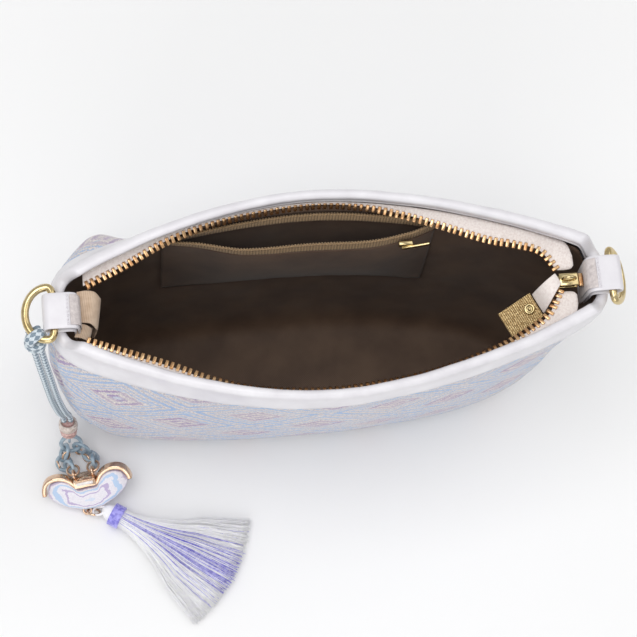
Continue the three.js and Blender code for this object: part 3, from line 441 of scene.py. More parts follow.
def thicken(piece, wall):
    """Gives an open sheet its wall, on the side away from its faces."""
    settle(piece, 2e-5)
    centre = Vector((0, 0, BODY_HEIGHT / 2 * MM))
    if sum((v.co - centre) @ v.normal for v in piece.data.vertices) < 0:
        piece.data.flip_normals()
    add_modifier(piece, "SOLIDIFY", thickness=wall * MM, offset=-1.0, use_even_offset=False)
    piece.data.shade_smooth()
    return piece


fabric_points = bag_sheet(lambda u: BAND_FOOT - GAP + 0 * u, 0, 0,
                          FABRIC_COLUMNS, FABRIC_ROWS, BASE_ROWS)
z = fabric_points[..., 2]
free = np.clip(z / 14, 0, 1) * np.clip((BAND_FOOT - z) / 8, 0, 1)
left_edge = lengths(fabric_points[0])[None, :]
edges = {"left": left_edge, "right": left_edge[0, -1] - left_edge}
front = fabric_points[..., 1] < 0
drop = (BAND_FOOT - z) / BAND_FOOT
crease = 0 * z
for edge, start, reach, bend, width, height, fading in CREASES:
    away = (edges[edge] - start - reach * drop**bend) / width
    crease += height * np.exp(-(away**2)) * (1 - fading * drop)
stretched = fabric_points * np.array([0.45, 1.0, 1.3])
soft = 0.8 * ripple(stretched, 34, 3) + 0.3 * ripple(stretched, 11, 8)
bumps = (np.where(front, crease, 0.6 * crease) + soft) * free
outward = surface_normals(fabric_points)
if (outward[3, FABRIC_COLUMNS // 2] @ [0, -1, 0]) < 0:
    outward = -outward
fabric_points = fabric_points + outward * bumps[..., None]
pushed = np.exp(-(((fabric_points[..., 0] - BULGE_CENTRE) / BULGE_WIDTH) ** 2))
pushed *= np.clip((BAND_FOOT - z) / 13, 0, 1) ** 0.7 * np.clip(z / 30, 0, 1)
pushed *= (0.25 + 0.75 * np.clip((z - 40) / 50, 0, 1)) * np.clip(fabric_points[..., 1] / 8, 0, 1)
fabric_points[..., 1] += BULGE_DEPTH * pushed
fabric_points[..., 2] = np.clip(fabric_points[..., 2], 0, BAND_FOOT - GAP)
middle_column = fabric_points[:, FABRIC_COLUMNS // 2]
fabric_v = np.repeat(lengths(middle_column)[:, None], FABRIC_COLUMNS, 1)
fabric_u = np.array([lengths(row) - lengths(row)[-1] / 2 for row in fabric_points])
fabric = grid_mesh("brocade_bag", fabric_points, np.stack([fabric_u, fabric_v], -1) * MM)
thicken(fabric, FABRIC_WALL)

# Brocade: polyester jacquard with a metallic ground yarn. The lozenges have the stepped
# edges of weaving, and the ground sparkles in specks of about half a millimetre.
LOZENGE_WIDTH = 58
LOZENGE_HEIGHT = 42
WEAVE_STEP = 0.9
FAINT_QUARTERS = 0.55


def rescale(tree, source, before, after=(0.0, 1.0)):
    """A socket's value carried from one range to another and held within it."""
    return add_node(tree, "MapRange", dict(enumerate((source, *before, *after)))).outputs[0]


def mix(tree, share, first, second):
    """Two colours mixed, each a socket or a hex code."""
    colours = [paint(c) if isinstance(c, str) else c for c in (first, second)]
    return add_node(tree, "MixRGB", dict(enumerate((share, *colours)))).outputs[0]


def bands(tree, source, stops):
    """A ramp of hard-edged bands: each stop is a place and the grey that follows it."""
    made = add_node(tree, "ValToRGB", {0: source})
    elements = made.color_ramp.elements
    made.color_ramp.interpolation = "CONSTANT"
    elements.remove(elements[1])
    elements[0].color = [stops[0][1]] * 3 + [1]
    for at, grey in stops[1:]:
        elements.new(at).color = [grey] * 3 + [1]
    return made.outputs[0]


brocade, tree, shader = new_material("metallic_brocade", Sheen_Weight=0.25, Sheen_Roughness=0.5)
cloth = parts(tree, layout(tree, "uv"))
zigzags, signs = [], []
for axis, size in ((0, LOZENGE_WIDTH), (1, LOZENGE_HEIGHT)):
    stepped = compute(tree, "SNAP", cloth[axis], WEAVE_STEP * MM)
    folded = compute(tree, "PINGPONG", stepped, size / 2 * MM)
    zigzags.append(compute(tree, "DIVIDE", folded, size * MM))
    signs.append(compute(tree, "WRAP", stepped, size / 2 * MM, -size / 2 * MM))
lozenge = compute(tree, "ADD", *zigzags)
quarter = compute(tree, "MULTIPLY", *signs)
hooks = rescale(tree, quarter, (-1e-6, 1e-6), (FAINT_QUARTERS, 1.0))
blue_bands = bands(tree, lozenge, [
    (0, 0), (0.25, 0.8), (0.28, 0), (0.35, 1), (0.4, 0), (0.46, 0.85), (0.485, 0), (0.54, 1),
    (0.6, 0), (0.66, 0.9), (0.685, 0), (0.73, 0.8), (0.755, 0)])
lilac_bands = bands(tree, lozenge, [
    (0, 0), (0.045, 1), (0.095, 0), (0.145, 1), (0.21, 0), (0.8, 1), (0.85, 0), (0.91, 1), (0.955, 0)])
lilac_bands = compute(tree, "MULTIPLY", lilac_bands, hooks)
stretched_cloth = add_node(tree, "Mapping", {"Vector": layout(tree, "uv"), "Scale": (75, 330, 1)})
flecks = texture(tree, "Noise", stretched_cloth.outputs[0], 1.0, Detail=1.0)
dashes = bands(tree, flecks, [(0, 0), (0.655, 0.8)])
worn = rescale(tree, texture(tree, "Noise", "object", 45.0, Detail=1.0), (0.36, 0.55), (0.6, 1.0))
specks = add_node(tree, "TexVoronoi", {"Vector": layout(tree, "object"), "Scale": 2100.0})
speck = parts(tree, specks.outputs["Color"])
grain = texture(tree, "Noise", "object", 1500.0, Detail=2.0)
shades = ramp(tree, grain, (0.34, "#B5AEB6"), (0.64, "#EAE1DC"))
for mask, code, strength in ((dashes, "#9DC0E6", 0.8), (blue_bands, "#8FB3DE", 1.0),
                             (lilac_bands, "#967AAE", 1.0)):
    woven = compute(tree, "MULTIPLY_ADD", speck[0], 0.3, 0.75)
    amount = compute(tree, "MULTIPLY", compute(tree, "MULTIPLY", mask, worn), woven)
    shades = mix(tree, compute(tree, "MULTIPLY", amount, strength), shades, code)
threads = [texture(tree, "Wave", "uv", 520.0, direction, Distortion=0.6) for direction in "XY"]
relief = compute(tree, "MULTIPLY_ADD", speck[2], 0.6, compute(tree, "MULTIPLY", *threads))
connect(tree, shader, relief, 0.55, 0.18, Base_Color=shades,
        Metallic=rescale(tree, speck[1], (0.72, 0.95), (0.04, 0.6)),
        Roughness=rescale(tree, speck[1], (0.7, 0.95), (0.6, 0.28)))
dress(fabric, brocade, "brocade", "brocade_body")

# Lining
# A loose bag of plain brown polyester hangs inside the fabric from the foot of the rim,
# and sags in shallow wrinkles. Its brown is painted darker as shade inside the bag.
LINING_WALL = 1.0
LINING_GAP = 0.6
LEAF_HEIGHT = 6.5
HEM_DROP = 5
RING_WIRE = 3.2
TAB_LEATHER = 1.4
BAR_DROP = 4.5
BAR_HEIGHT = BODY_HEIGHT - BAR_DROP
LOOP_HALF_HEIGHT = RING_WIRE / 2 + GAP + TAB_LEATHER
RIM_END_TOP = BAR_HEIGHT - LOOP_HALF_HEIGHT - GAP
DIP_START, DIP_END = 0.93, 0.982
LINING_INSET = FABRIC_WALL + LINING_GAP
LINING_COLUMNS, LINING_ROWS, LINING_BASE_ROWS = 150, 40, 14


def rim_top(u):
    """Height of the rim, which falls at both ends to pass under the tabs."""
    s = np.clip((np.abs(u) - DIP_START) / (DIP_END - DIP_START), 0, 1)
    return BODY_HEIGHT + (RIM_END_TOP - BODY_HEIGHT) * s * s * (3 - 2 * s)


def leaf_foot(u):
    """Height of the foot of the rim's inner face."""
    return np.maximum(rim_top(u) - LEAF_HEIGHT, BAND_FOOT + FABRIC_WALL)


lining_points = bag_sheet(lambda u: leaf_foot(u) - HEM_DROP, LINING_INSET, LINING_INSET,
                          LINING_COLUMNS, LINING_ROWS, LINING_BASE_ROWS)
inward = -surface_normals(lining_points)
if (inward[3, LINING_COLUMNS // 2] @ [0, 1, 0]) < 0:
    inward = -inward
free = np.clip(lining_points[..., 2] / 20, 0.15, 1) * np.clip((116 - lining_points[..., 2]) / 8, 0, 1)
slack = np.abs(ripple(lining_points * np.array([1.2, 1, 0.5]), 24, 5)) * 1.1
slack += np.abs(ripple(lining_points, 9, 21)) * 0.35
lining_points = lining_points + inward * (slack * free)[..., None]
lining_u = np.array([lengths(row) for row in lining_points])
middle_column = lining_points[:, LINING_COLUMNS // 2]
lining_v = np.repeat(lengths(middle_column)[:, None], LINING_COLUMNS, 1)
lining = grid_mesh("lining_bag", lining_points, np.stack([lining_u, lining_v], -1) * MM)
thicken(lining, LINING_WALL)

# Lining cloth: plain-woven polyester twill, matt with a soft sheen, in fine slanting ribs
# of about a third of a millimetre.
lining_cloth, tree, shader = new_material("polyester_lining_twill", Roughness=0.68,
                                          Sheen_Weight=0.15, Sheen_Roughness=0.45)
ribs = texture(tree, "Wave", "uv", 700.0, "DIAGONAL", Distortion=0.4)
cloudy = texture(tree, "Noise", "object", 60.0, Detail=4.0)
tone = compute(tree, "MULTIPLY_ADD", ribs, 0.35, cloudy)
connect(tree, shader, ribs, 0.35, 0.08,
        # The dark browns are partly the cloth's own brown and partly painted shade for the inside of the
        # bag.
        Base_Color=ramp(tree, tone, (0.3, "#473429"), (0.95, "#6E5745")))
dress(lining, lining_cloth, "lining", "lining")

# Rim
# A band of pearl-white leather is folded over a soft filler into a padded roll and turned
# in to the zip, one length on each side of the mouth, with a seam on its inner face.
ROLL_THICKNESS = 3.5
ROLL_SWELL = 0.25
LAP = 0.55
RIM_COLUMNS = 300

# Pearl-finished calf leather: even and close-grained, with pores of half a millimetre and
# a faint cool cast in the hollows.
leather, tree, shader = new_material("pearl_white_leather", Roughness=0.34, Coat_Weight=0.25,
                                     Coat_Roughness=0.22)
pores = add_node(tree, "TexVoronoi", {"Vector": layout(tree, "object"), "Scale": 1500.0},
                 feature="SMOOTH_F1").outputs["Distance"]
cast = texture(tree, "Noise", "object", 90.0, Detail=3.0)
connect(tree, shader, pores, 0.16, 0.12,
        Base_Color=ramp(tree, cast, (0.3, "#DAD7DC"), (0.7, "#E8E6EA")),
        Roughness=rescale(tree, cast, (0.3, 0.7), (0.29, 0.42)))

for side in ("front", "back"):
    u = even_shares(side, BODY_HEIGHT, 0, RIM_COLUMNS)
    top, foot = rim_top(u), leaf_foot(u)
    middle = ROLL_THICKNESS / 2
    profile = [(-0.1, BAND_FOOT - 1.3 + 0 * u), (-0.4, BAND_FOOT - 1.6 + 0 * u),
               (-LAP, BAND_FOOT - 1.1 + 0 * u), (-LAP, BAND_FOOT + 1.2 + 0 * u),
               (-0.42, BAND_FOOT + 3 + 0 * u), (-0.25, (BAND_FOOT + top) / 2)]
    swell = ROLL_THICKNESS / 2 + ROLL_SWELL
    for angle in np.radians(np.linspace(-20, 205, 13)):
        profile.append((middle - swell * math.cos(angle), top - swell + swell * math.sin(angle)))
    profile += [(ROLL_THICKNESS - 0.25, (top * 2 + foot) / 3 - 0.9), (ROLL_THICKNESS, foot + 2.2),
                (ROLL_THICKNESS - 0.35, foot + 1.7), (ROLL_THICKNESS, foot + 1.2),
                (ROLL_THICKNESS - 0.1, foot + 0.2), (ROLL_THICKNESS - 0.5, foot),
                (FABRIC_WALL + 0.3, foot), (FABRIC_WALL, foot - 0.2),
                (FABRIC_WALL, BAND_FOOT + 0.1 + 0 * u), (0, BAND_FOOT + 0.1 + 0 * u)]
    rows = np.array([wall_points(side, u, height, inset) for inset, height in profile])
    rows = rows.transpose(1, 0, 2)
    uneven = 0.22 * ripple(rows, 15, 2) + 0.07 * ripple(rows, 5, 7)
    rows = rows + uneven[..., None] * np.array([0, 1, 0.6])
    rows[..., 1] += -GAP / 2 if side == "front" else GAP / 2
    rim = settle(grid_mesh(f"{side}_leather_rim", rows, wrap=True, caps=True))
    dress(rim, leather, "leather", f"{side}_rim")

# Zip tapes
# Cream polyester tape woven in fine cross ribs carries the teeth on its inner edge and is
# sewn under the leaf of the rim; on the right its end is cut round.
TAPE_WIDTH = 16
TAPE_THICKNESS = 0.7
TEETH_WIDTH = 3
TEETH_THICKNESS = 1.6
TAB_INSET = 6.6
STUB_LENGTH = 2
SLIDER_LENGTH = 8
TAPE_END = 0.9
TAPE_ROUNDING = 0.03  # share of the reach over which its end is rounded
TAPE_STATIONS = 190
TAPE_START = 1.5  # from the tips of the teeth out to the tape's edge
# share of the zip's reach, then front and back as shares of the mouth's half depth, height
ZIP_LINE = np.array([
    (-0.900, 0.245, 0.225, 0.941), (-0.760, 0.377, 0.390, 0.933), (-0.600, 0.530, 0.610, 0.927),
    (-0.455, 0.690, 0.755, 0.922), (-0.295, 0.810, 0.850, 0.919), (-0.045, 0.864, 0.910, 0.919),
    (0.134, 0.836, 0.870, 0.919), (0.286, 0.785, 0.757, 0.919), (0.430, 0.700, 0.620, 0.920),
    (0.590, 0.565, 0.455, 0.923), (0.705, 0.420, 0.375, 0.927), (0.786, 0.275, 0.285, 0.932),
    (0.835, 0.060, 0.085, 0.935),
])
LEFT_SEAM = -SECTIONS[-1, 1] * HALF_WIDTH
RIGHT_SEAM = SECTIONS[-1, 2] * HALF_WIDTH
ZIP_END = RIGHT_SEAM - TAB_INSET - 2 * TAB_LEATHER - STUB_LENGTH - SLIDER_LENGTH - 4 * GAP
ZIP_REACH = ZIP_END / ZIP_LINE[-1, 0]


def zip_frames(side, at):
    """Tips of the zip's edge, and the directions along it, out to the seam and up."""
    row = blend(ZIP_LINE, at)
    y = row[..., 1 if side == "front" else 2] * MOUTH_HALF_DEPTH * (-1 if side == "front" else 1)
    tips = np.stack([at * ZIP_REACH, y, row[..., 3] * BODY_HEIGHT], -1)
    z = BODY_HEIGHT - LEAF_HEIGHT - 3 * GAP - TAPE_THICKNESS
    inset = FABRIC_WALL + 2 * GAP + TAPE_THICKNESS
    centre, half = wall_ends(np.array(z))
    wall_y = wall_points(side, (tips[:, 0] - centre) / (half - inset), z, inset)[:, 1]
    reach = np.minimum(np.abs(wall_y - y), TAPE_WIDTH) * np.sign(wall_y)
    seam = tips + np.stack([0 * y, reach, (z - tips[:, 2]) * reach / (wall_y - y)], -1)
    return tips, seam


# Zip tape: dense ribbed polyester webbing, matt, with ribs 0.6 mm apart across its length.
zip_tape, tree, shader = new_material("ribbed_polyester_tape", Roughness=0.82, Sheen_Weight=0.2)
ribs = texture(tree, "Wave", "uv", 480.0, "X", Distortion=0.5)
picks = texture(tree, "Wave", "uv", 420.0, "Y", Distortion=0.8)
woven = compute(tree, "MULTIPLY", ribs, picks)
lint = texture(tree, "Noise", "object", 1200.0, Detail=2.0)
tone = compute(tree, "MULTIPLY_ADD", woven, 0.4, lint)
connect(tree, shader, woven, 0.6, 0.15,
        Base_Color=ramp(tree, tone, (0.25, "#DDCFC9"), (0.8, "#F6EEE9")))

for side in ("front", "back"):
    at = np.linspace(ZIP_LINE[0, 0], TAPE_END, TAPE_STATIONS)
    tips, seam = zip_frames(side, at)
    reach = np.linalg.norm(seam - tips, axis=1)
    outward = (seam - tips) / reach[:, None]
    rounding = 1 - np.clip((at - TAPE_END) / TAPE_ROUNDING + 1, 0, 1) ** 2
    inner = TAPE_START * (2 - np.sqrt(rounding))
    outer = np.maximum(reach, inner + 1.2)
    outer = inner + (outer - inner) * (0.45 + 0.55 * np.sqrt(rounding))
    shares = np.linspace(0, 1, 8)
    rows = np.array([tips + outward * (inner + (outer - inner) * s)[:, None] for s in shares])
    rows = rows.transpose(1, 0, 2)
    rows[..., 2] += 0.12 * ripple(rows, 6, 4)
    uv_map = np.stack(np.broadcast_arrays(lengths(tips)[:, None], shares[None, :] * TAPE_WIDTH), -1) * MM
    tape = settle(grid_mesh(f"{side}_zip_tape", rows, uv_map))
    add_modifier(tape, "SOLIDIFY", thickness=TAPE_THICKNESS * MM * 0.9, offset=0.0)
    dress(tape, zip_tape, "tape", f"zip_tape_{side}")

# Zip teeth
# Each tooth is a brass clip pressed over the corded edge of the tape: a rounded head with
# two legs that grip the tape above and below. The two rows are half a pitch apart.
TOOTH_PITCH = 2.5
TOOTH_LENGTH = 1.45
TOOTH_HEAD, TOOTH_HEIGHT, LEG_LENGTH = 1.5, 1.9, 1.9
LEG_GAP = 0.84
ZIP_STATIONS = 900

bpy.ops.mesh.primitive_cube_add(size=1, location=(0, 0.0006, 0))
tooth = bpy.context.object
tooth.name = "zip_tooth"
bpy.ops.object.mode_set(mode="EDIT")
bpy.ops.transform.resize(value=(TOOTH_LENGTH * MM, TOOTH_HEAD * MM, TOOTH_HEIGHT * MM),
                         center_override=(0, 0.0006, 0))
for height in (-LEG_GAP / 2, LEG_GAP / 2):
    bpy.ops.mesh.select_all(action="SELECT")
    bpy.ops.mesh.bisect(plane_co=(0, 0, height * MM), plane_no=(0, 0, 1))
bpy.context.tool_settings.mesh_select_mode = (False, False, True)
bpy.ops.object.mode_set(mode="OBJECT")
for face in tooth.data.polygons:
    face.select = face.normal.y > 0.9 and abs(face.center.z) > 0.5 * MM
bpy.ops.object.mode_set(mode="EDIT")
bpy.ops.mesh.extrude_region_move(TRANSFORM_OT_translate={"value": (0, LEG_LENGTH * MM, 0)})
bpy.ops.object.mode_set(mode="OBJECT")
add_modifier(tooth, "BEVEL", width=0.28 * MM, segments=2, limit_method="ANGLE")
tooth_points = np.array([v.co for v in tooth.data.vertices])
tooth_faces = [list(face.vertices) for face in tooth.data.polygons]
bpy.data.objects.remove(tooth)

# Zip brass: cast brass with a thin rose-gold plating, polished by tumbling, so each tooth
# is bright with slightly uneven gloss.
brass, tree, shader = new_material("rose_gold_plated_brass", Metallic=1.0)
tarnish = texture(tree, "Noise", "object", 420.0, Detail=3.0)
connect(tree, shader, Base_Color=ramp(tree, tarnish, (0.3, "#B98557"), (0.7, "#EBC79A")),
        Roughness=rescale(tree, tarnish, (0.3, 0.7), (0.36, 0.2)))

for side, start in (("front", 0.0), ("back", 0.5)):
    at = np.linspace(ZIP_LINE[0, 0], ZIP_LINE[-1, 0], ZIP_STATIONS)
    tips, seam = zip_frames(side, at)
    along = lengths(tips)
    ahead = headings(tips)
    points, faces = [], []
    for reach in np.arange(1 + start * TOOTH_PITCH, along[-1] - 0.6, TOOTH_PITCH):
        i = int(np.searchsorted(along, reach))
        tangent = ahead[i]
        out = seam[i] - tips[i]
        out -= tangent * (tangent @ out)
        out /= np.linalg.norm(out)
        up = np.cross(tangent, out)
        first = len(points) * len(tooth_points)
        points.append(tooth_points @ np.stack([tangent, out, up]) + tips[i] * MM)
        faces += [[v + first for v in face] for face in tooth_faces]
    row = settle(new_piece(f"{side}_zip_teeth", np.vstack(points), faces))
    dress(row, brass, "teeth", f"zip_teeth_{side}")

# Slider and zip end
# The slider is two die-cast plates round a post, narrow at the nose, with a bail on top
# for the pull. Behind it the last teeth are closed.
SLIDER_WIDTH = 8.6
SLIDER_THICKNESS = 4.2
PLATE_WALL = 1.1
BAIL_HEIGHT = 3.2
BAIL_WIRE = 1.2

last_tips = [zip_frames(side, ZIP_LINE[-1:, 0])[0][0] for side in ("front", "back")]
SLIDER_PLACE = (last_tips[0] + last_tips[1]) / 2 + np.array([GAP + SLIDER_LENGTH / 2, 0, 0])


def moved(*place):
    """A shift by a place in millimetres."""
    return Matrix.Translation(Vector(place) * MM)


def turned_by(angle, axis):
    """A turn round an axis through the origin."""
    return Matrix.Rotation(angle, 4, axis)


def select_faces(piece, rule):
    """Selects the faces that meet a rule and stays in edit mode."""
    bpy.ops.object.mode_set(mode="OBJECT")
    for face in piece.data.polygons:
        face.select = rule(face)
    bpy.ops.object.mode_set(mode="EDIT")


def add_block(name, size):
    """A box of that size in millimetres round the origin, left in edit mode."""
    bpy.ops.object.select_all(action="DESELECT")
    bpy.ops.mesh.primitive_cube_add(size=1)
    piece = bpy.context.object
    piece.name = name
    bpy.ops.object.mode_set(mode="EDIT")
    bpy.ops.transform.resize(value=[length * MM for length in size], center_override=(0, 0, 0))
    return piece


def start_wire(name):
    """A round curve of radius one, ready to be bent."""
    bpy.ops.object.select_all(action="DESELECT")
    bpy.ops.curve.primitive_bezier_circle_add(radius=1)
    bpy.context.object.name = name
    return bpy.context.object


def finish_wire(curve, wire, steps, roundness, place):
    """Makes a bent curve a mesh of round wire in its place."""
    curve.data.resolution_u = steps
    curve.data.bevel_depth = wire / 2 * MM
    curve.data.bevel_resolution = roundness
    bpy.ops.object.convert(target="MESH")
    piece = bpy.context.object
    piece.data.transform(place)
    piece.data.shade_smooth()
    return piece


def wire_loop(name, half_length, half_width, wire, place):
    """A closed oval wire, moved from the origin to its place."""
    loop = start_wire(name)
    bpy.ops.object.mode_set(mode="EDIT")
    bpy.ops.curve.select_all(action="SELECT")
    bpy.ops.transform.resize(value=(half_length * MM, half_width * MM, 1), center_override=(0, 0, 0))
    bpy.ops.object.mode_set(mode="OBJECT")
    return finish_wire(loop, wire, 12, 3, place)


def soften(piece, width, segments=2):
    """Rounds the sharp edges of a block and leaves edit mode."""
    bpy.ops.object.mode_set(mode="OBJECT")
    add_modifier(piece, "BEVEL", width=width * MM, segments=segments, limit_method="ANGLE",
                 harden_normals=False)
    piece.data.shade_smooth()
    return piece


plates = []
for lift in (-1, 1):
    plate = add_block("slider_plate", (SLIDER_LENGTH, SLIDER_WIDTH, PLATE_WALL))
    select_faces(plate, lambda face: face.normal.x > 0.9)
    bpy.ops.transform.resize(value=(1, 0.62, 1))
    select_faces(plate, lambda face, lift=lift: face.normal.z * lift > 0.9)
    bpy.ops.mesh.inset(thickness=1.3 * MM)
    bpy.ops.transform.translate(value=(0, 0, 0.25 * lift * MM))
    soften(plate, 0.28)
    plate.data.transform(moved(0, 0, lift * (SLIDER_THICKNESS - PLATE_WALL) / 2))
    plates.append(plate)
post = add_block("slider_post", (SLIDER_LENGTH / 3, SLIDER_WIDTH / 4, SLIDER_THICKNESS - PLATE_WALL))
soften(post, 0.3)
bail = wire_loop("bail", SLIDER_LENGTH / 3, BAIL_HEIGHT, BAIL_WIRE,
                 moved(0, 0, SLIDER_THICKNESS / 2) @ turned_by(math.pi / 2, "X"))
bpy.ops.object.mode_set(mode="EDIT")
bpy.ops.mesh.select_all(action="SELECT")
bpy.ops.mesh.bisect(plane_co=(0, 0, (SLIDER_THICKNESS / 2 - 0.6) * MM), plane_no=(0, 0, 1),
                    clear_inner=True, use_fill=True)
bpy.ops.object.mode_set(mode="OBJECT")
slider = join(plates[1], plates[0], post, bail)
slider.name = "slider"
slider.data.transform(moved(*SLIDER_PLACE))

# Polished gold plating over a die-cast zinc alloy: a smooth, pale gold mirror with very
# fine swirls from the buffing wheel.
gold_plating, tree, shader = new_material("pale_gold_plating", Metallic=1.0)
swirls = texture(tree, "Noise", "object", 260.0, Detail=5.0, Roughness=0.7)
connect(tree, shader, Base_Color=ramp(tree, swirls, (0.3, "#C2AA76"), (0.7, "#E0CFA3")),
        Roughness=rescale(tree, swirls, (0.3, 0.75), (0.1, 0.24)))
dress(slider, gold_plating, "gold", "zip_slider")

closed = add_block("closed_teeth", (STUB_LENGTH - 0.2, 2 * TEETH_WIDTH - 0.4, TEETH_THICKNESS))
soften(closed, 0.3)
closed.data.transform(moved(*SLIDER_PLACE) @ moved(SLIDER_LENGTH / 2 + GAP + STUB_LENGTH / 2, 0, 0))
dress(closed, brass, "teeth", "zip_closed_end")

# Zip pull
# A stamped plate with a fine woven texture hangs from the bail by a folded strap of the
# zip's own tape, held by an eyelet.
PULL_OFFSET = Vector((-19.6, -11.1, -8.1))
PULL_YAW, PULL_SLOPE = math.radians(25), math.radians(29)
PULL_LENGTH, PULL_WIDTH, PULL_THICKNESS = 16, 11.5, 1.2
RIVET_DIAMETER = 3.4
STRAP_HEAD = Vector((-5, 0, 3.6))
STRAP_LOFT = 9
STRAP_WIDTHS = (9.4, 5.0)
STRAP_THICKNESS = 1.0
STRAP_STATIONS = 40

pull_place = (moved(*SLIDER_PLACE) @ moved(*PULL_OFFSET) @ turned_by(PULL_YAW, "Z")
              @ turned_by(-PULL_SLOPE, "Y"))
plate = add_block("pull_tag", (PULL_LENGTH, PULL_WIDTH, PULL_THICKNESS))
select_faces(plate, lambda face: abs(face.normal.z) > 0.9)
bpy.ops.mesh.inset(thickness=0.45 * MM, use_individual=True)
bpy.ops.transform.resize(value=(1, 1, 0.86), center_override=(0, 0, 0))
soften(plate, 0.16)
plate.data.transform(pull_place)

# Stamped brass: plated gold and textured like a weave, with threads half a millimetre
# apart that cross at right angles, and specks of painted glint in its colour.
plate_gold, tree, shader = new_material("woven_texture_gold", Metallic=0.8, Roughness=0.45)
along_plate = add_node(tree, "Mapping", {"Vector": layout(tree, "object"),
                                         "Rotation": (0, 0, -PULL_YAW)}).outputs[0]
crossing = [texture(tree, "Wave", along_plate, 420.0, direction, Distortion=2.5, Detail=2.0)
            for direction in "XY"]
hatched = compute(tree, "MULTIPLY", *crossing)
# Random cells lighten the colour here: painted glints on the plating.
painted_glints = add_node(tree, "TexVoronoi", {"Vector": along_plate, "Scale": 2200.0})
tone = compute(tree, "MULTIPLY_ADD", parts(tree, painted_glints.outputs["Color"])[0], 0.45, hatched)
connect(tree, shader, hatched, 0.8, 0.4,
        Base_Color=ramp(tree, tone, (0.04, "#94703F"), (0.5, "#F6D9A2")))
dress(plate, plate_gold, "plate", "pull_plate")


def circle(count):
    """Angles at even steps round a circle."""
    return np.linspace(0, 2 * math.pi, count, endpoint=False)


def squared(wave, power):
    """A sine or cosine drawn out towards its ends, for a section with rounded corners."""
    return np.sign(wave) * np.abs(wave) ** power


def turned(name, profile, sides=40, ribs=0, rib_depth=0.0):
    """A piece turned round the Z axis from pairs of radius and height, in millimetres."""
    angle = circle(sides)
    swell = 1 + rib_depth * np.cos(ribs * angle)
    rows = [np.stack([r * swell * np.cos(angle), r * swell * np.sin(angle), 0 * angle + z], 1)
            for r, z in profile]
    return settle(grid_mesh(name, np.array(rows), wrap=True, caps=True))


rivet = turned("eyelet", [(0.9, -0.2), (2.3, -0.2), (2.4, 0.1), (2.25, 0.6), (1.8, 0.85), (1.35, 0.6),
                          (1.15, 0.15), (0.85, 0.25), (0.45, 0.6), (0.02, 0.7)])
rivet.data.transform(pull_place @ moved(PULL_LENGTH / 2 - RIVET_DIAMETER, 0, PULL_THICKNESS / 2 + GAP))
dress(rivet, gold_plating, "gold", "pull_rivet")


def ribbon(name, path, across, widths, thickness, sides=20):
    """A strap with rounded edges along a path; across is its direction of width at each point."""
    ahead = headings(path)
    across = np.broadcast_to(np.asarray(across, float), path.shape)
    up = np.cross(ahead, across)
    up /= np.linalg.norm(up, axis=1)[:, None]
    widths = np.broadcast_to(widths, len(path))
    angle = circle(sides) + math.pi / sides
    wide, thick = squared(np.cos(angle), 0.35), squared(np.sin(angle), 0.6)
    rows = (path[:, None] + across[:, None] * (widths[:, None] * wide / 2)[..., None]
            + up[:, None] * (thickness / 2 * thick)[None, :, None])
    edge = np.append(wide, wide[0])[None, :] * widths[:, None] / 2
    uv = np.stack(np.broadcast_arrays(lengths(path)[:, None], edge), -1) * MM
    return settle(grid_mesh(name, rows, uv, wrap=True, caps=True))


foot = Vector(pull_place @ Vector(((PULL_LENGTH / 2 + 2.5 * GAP) * MM, 0, 0))) / MM
head = Vector(SLIDER_PLACE) + STRAP_HEAD
bend = foot.lerp(head, 0.35) + Vector((0, 0, STRAP_LOFT))
share = np.linspace(0, 1, STRAP_STATIONS)[:, None]
strap_path = (np.array(foot) * (1 - share) ** 2 + 2 * np.array(bend) * share * (1 - share)
              + np.array(head) * share**2)
strap = ribbon("folded_strap", strap_path, [-math.sin(PULL_YAW), math.cos(PULL_YAW), 0],
               np.linspace(*STRAP_WIDTHS, STRAP_STATIONS), STRAP_THICKNESS)
dress(strap, zip_tape, "tape", "pull_strap")

# Inner pocket
# A flat pocket of lining cloth is sewn to the back, and its open top sags forward. A nylon
# coil zip on brown tape runs along both lips, with a small slider near the right end.
POCKET_DROP = 21
POCKET_DEPTH = 13
POCKET_WALL = 1.0
POCKET_GAP = 0.9
POCKET_FOOT = 0.42 * BODY_HEIGHT
POCKET_TOP = BODY_HEIGHT - POCKET_DROP
COIL_HEIGHT = 6
COIL_THICKNESS = 1.4
COIL_PITCH = 1.25
COIL_WIRE = 0.6
COIL_STATIONS = 1400
COIL_SLIDER_AT = 0.3
# share of the half width, then how far its lip stands out as a share of the depth
POCKET_LINE = np.array([(-0.6, 0), (-0.48, 0.3), (-0.3, 0.85), (-0.1, 1), (0.15, 0.9),
                        (0.32, 0.45), (0.42, 0)])


def pocket_points(at, z, out):
    """Points in front of the back lining by that much."""
    inset = LINING_INSET + LINING_WALL + POCKET_GAP + out
    centre, half = wall_ends(np.asarray(z, float))
    return wall_points("back", (at * HALF_WIDTH - centre) / (half - inset), z, inset)


def pocket_bulge(at, z):
    """How far the pocket's cloth stands forward at a place."""
    share = np.sin(math.pi / 2 * (z - POCKET_FOOT) / (POCKET_TOP - POCKET_FOOT))
    return np.maximum(blend(POCKET_LINE, at)[..., 1], 0) * POCKET_DEPTH * share


at = np.linspace(POCKET_LINE[0, 0], POCKET_LINE[-1, 0], 90)
rows = np.array([pocket_points(at, z, pocket_bulge(at, z) + POCKET_WALL / 2)
                 for z in np.linspace(POCKET_FOOT, POCKET_TOP, 34)])
loose = np.clip((POCKET_TOP - rows[..., 2]) / 6, 0, 1) * np.clip(pocket_bulge(at, POCKET_TOP) / 4, 0, 1)
rows[..., 1] -= 0.8 * np.abs(ripple(rows * np.array([1, 1, 0.4]), 18, 11)) * loose
uv = np.stack(np.broadcast_arrays(lengths(rows[-1])[None, :], rows[..., 2]), -1) * MM
pocket = settle(grid_mesh("pocket_cloth", rows, uv))
add_modifier(pocket, "SOLIDIFY", thickness=0.9 * MM, offset=0.0)
dress(pocket, lining_cloth, "lining", "pocket_panel")

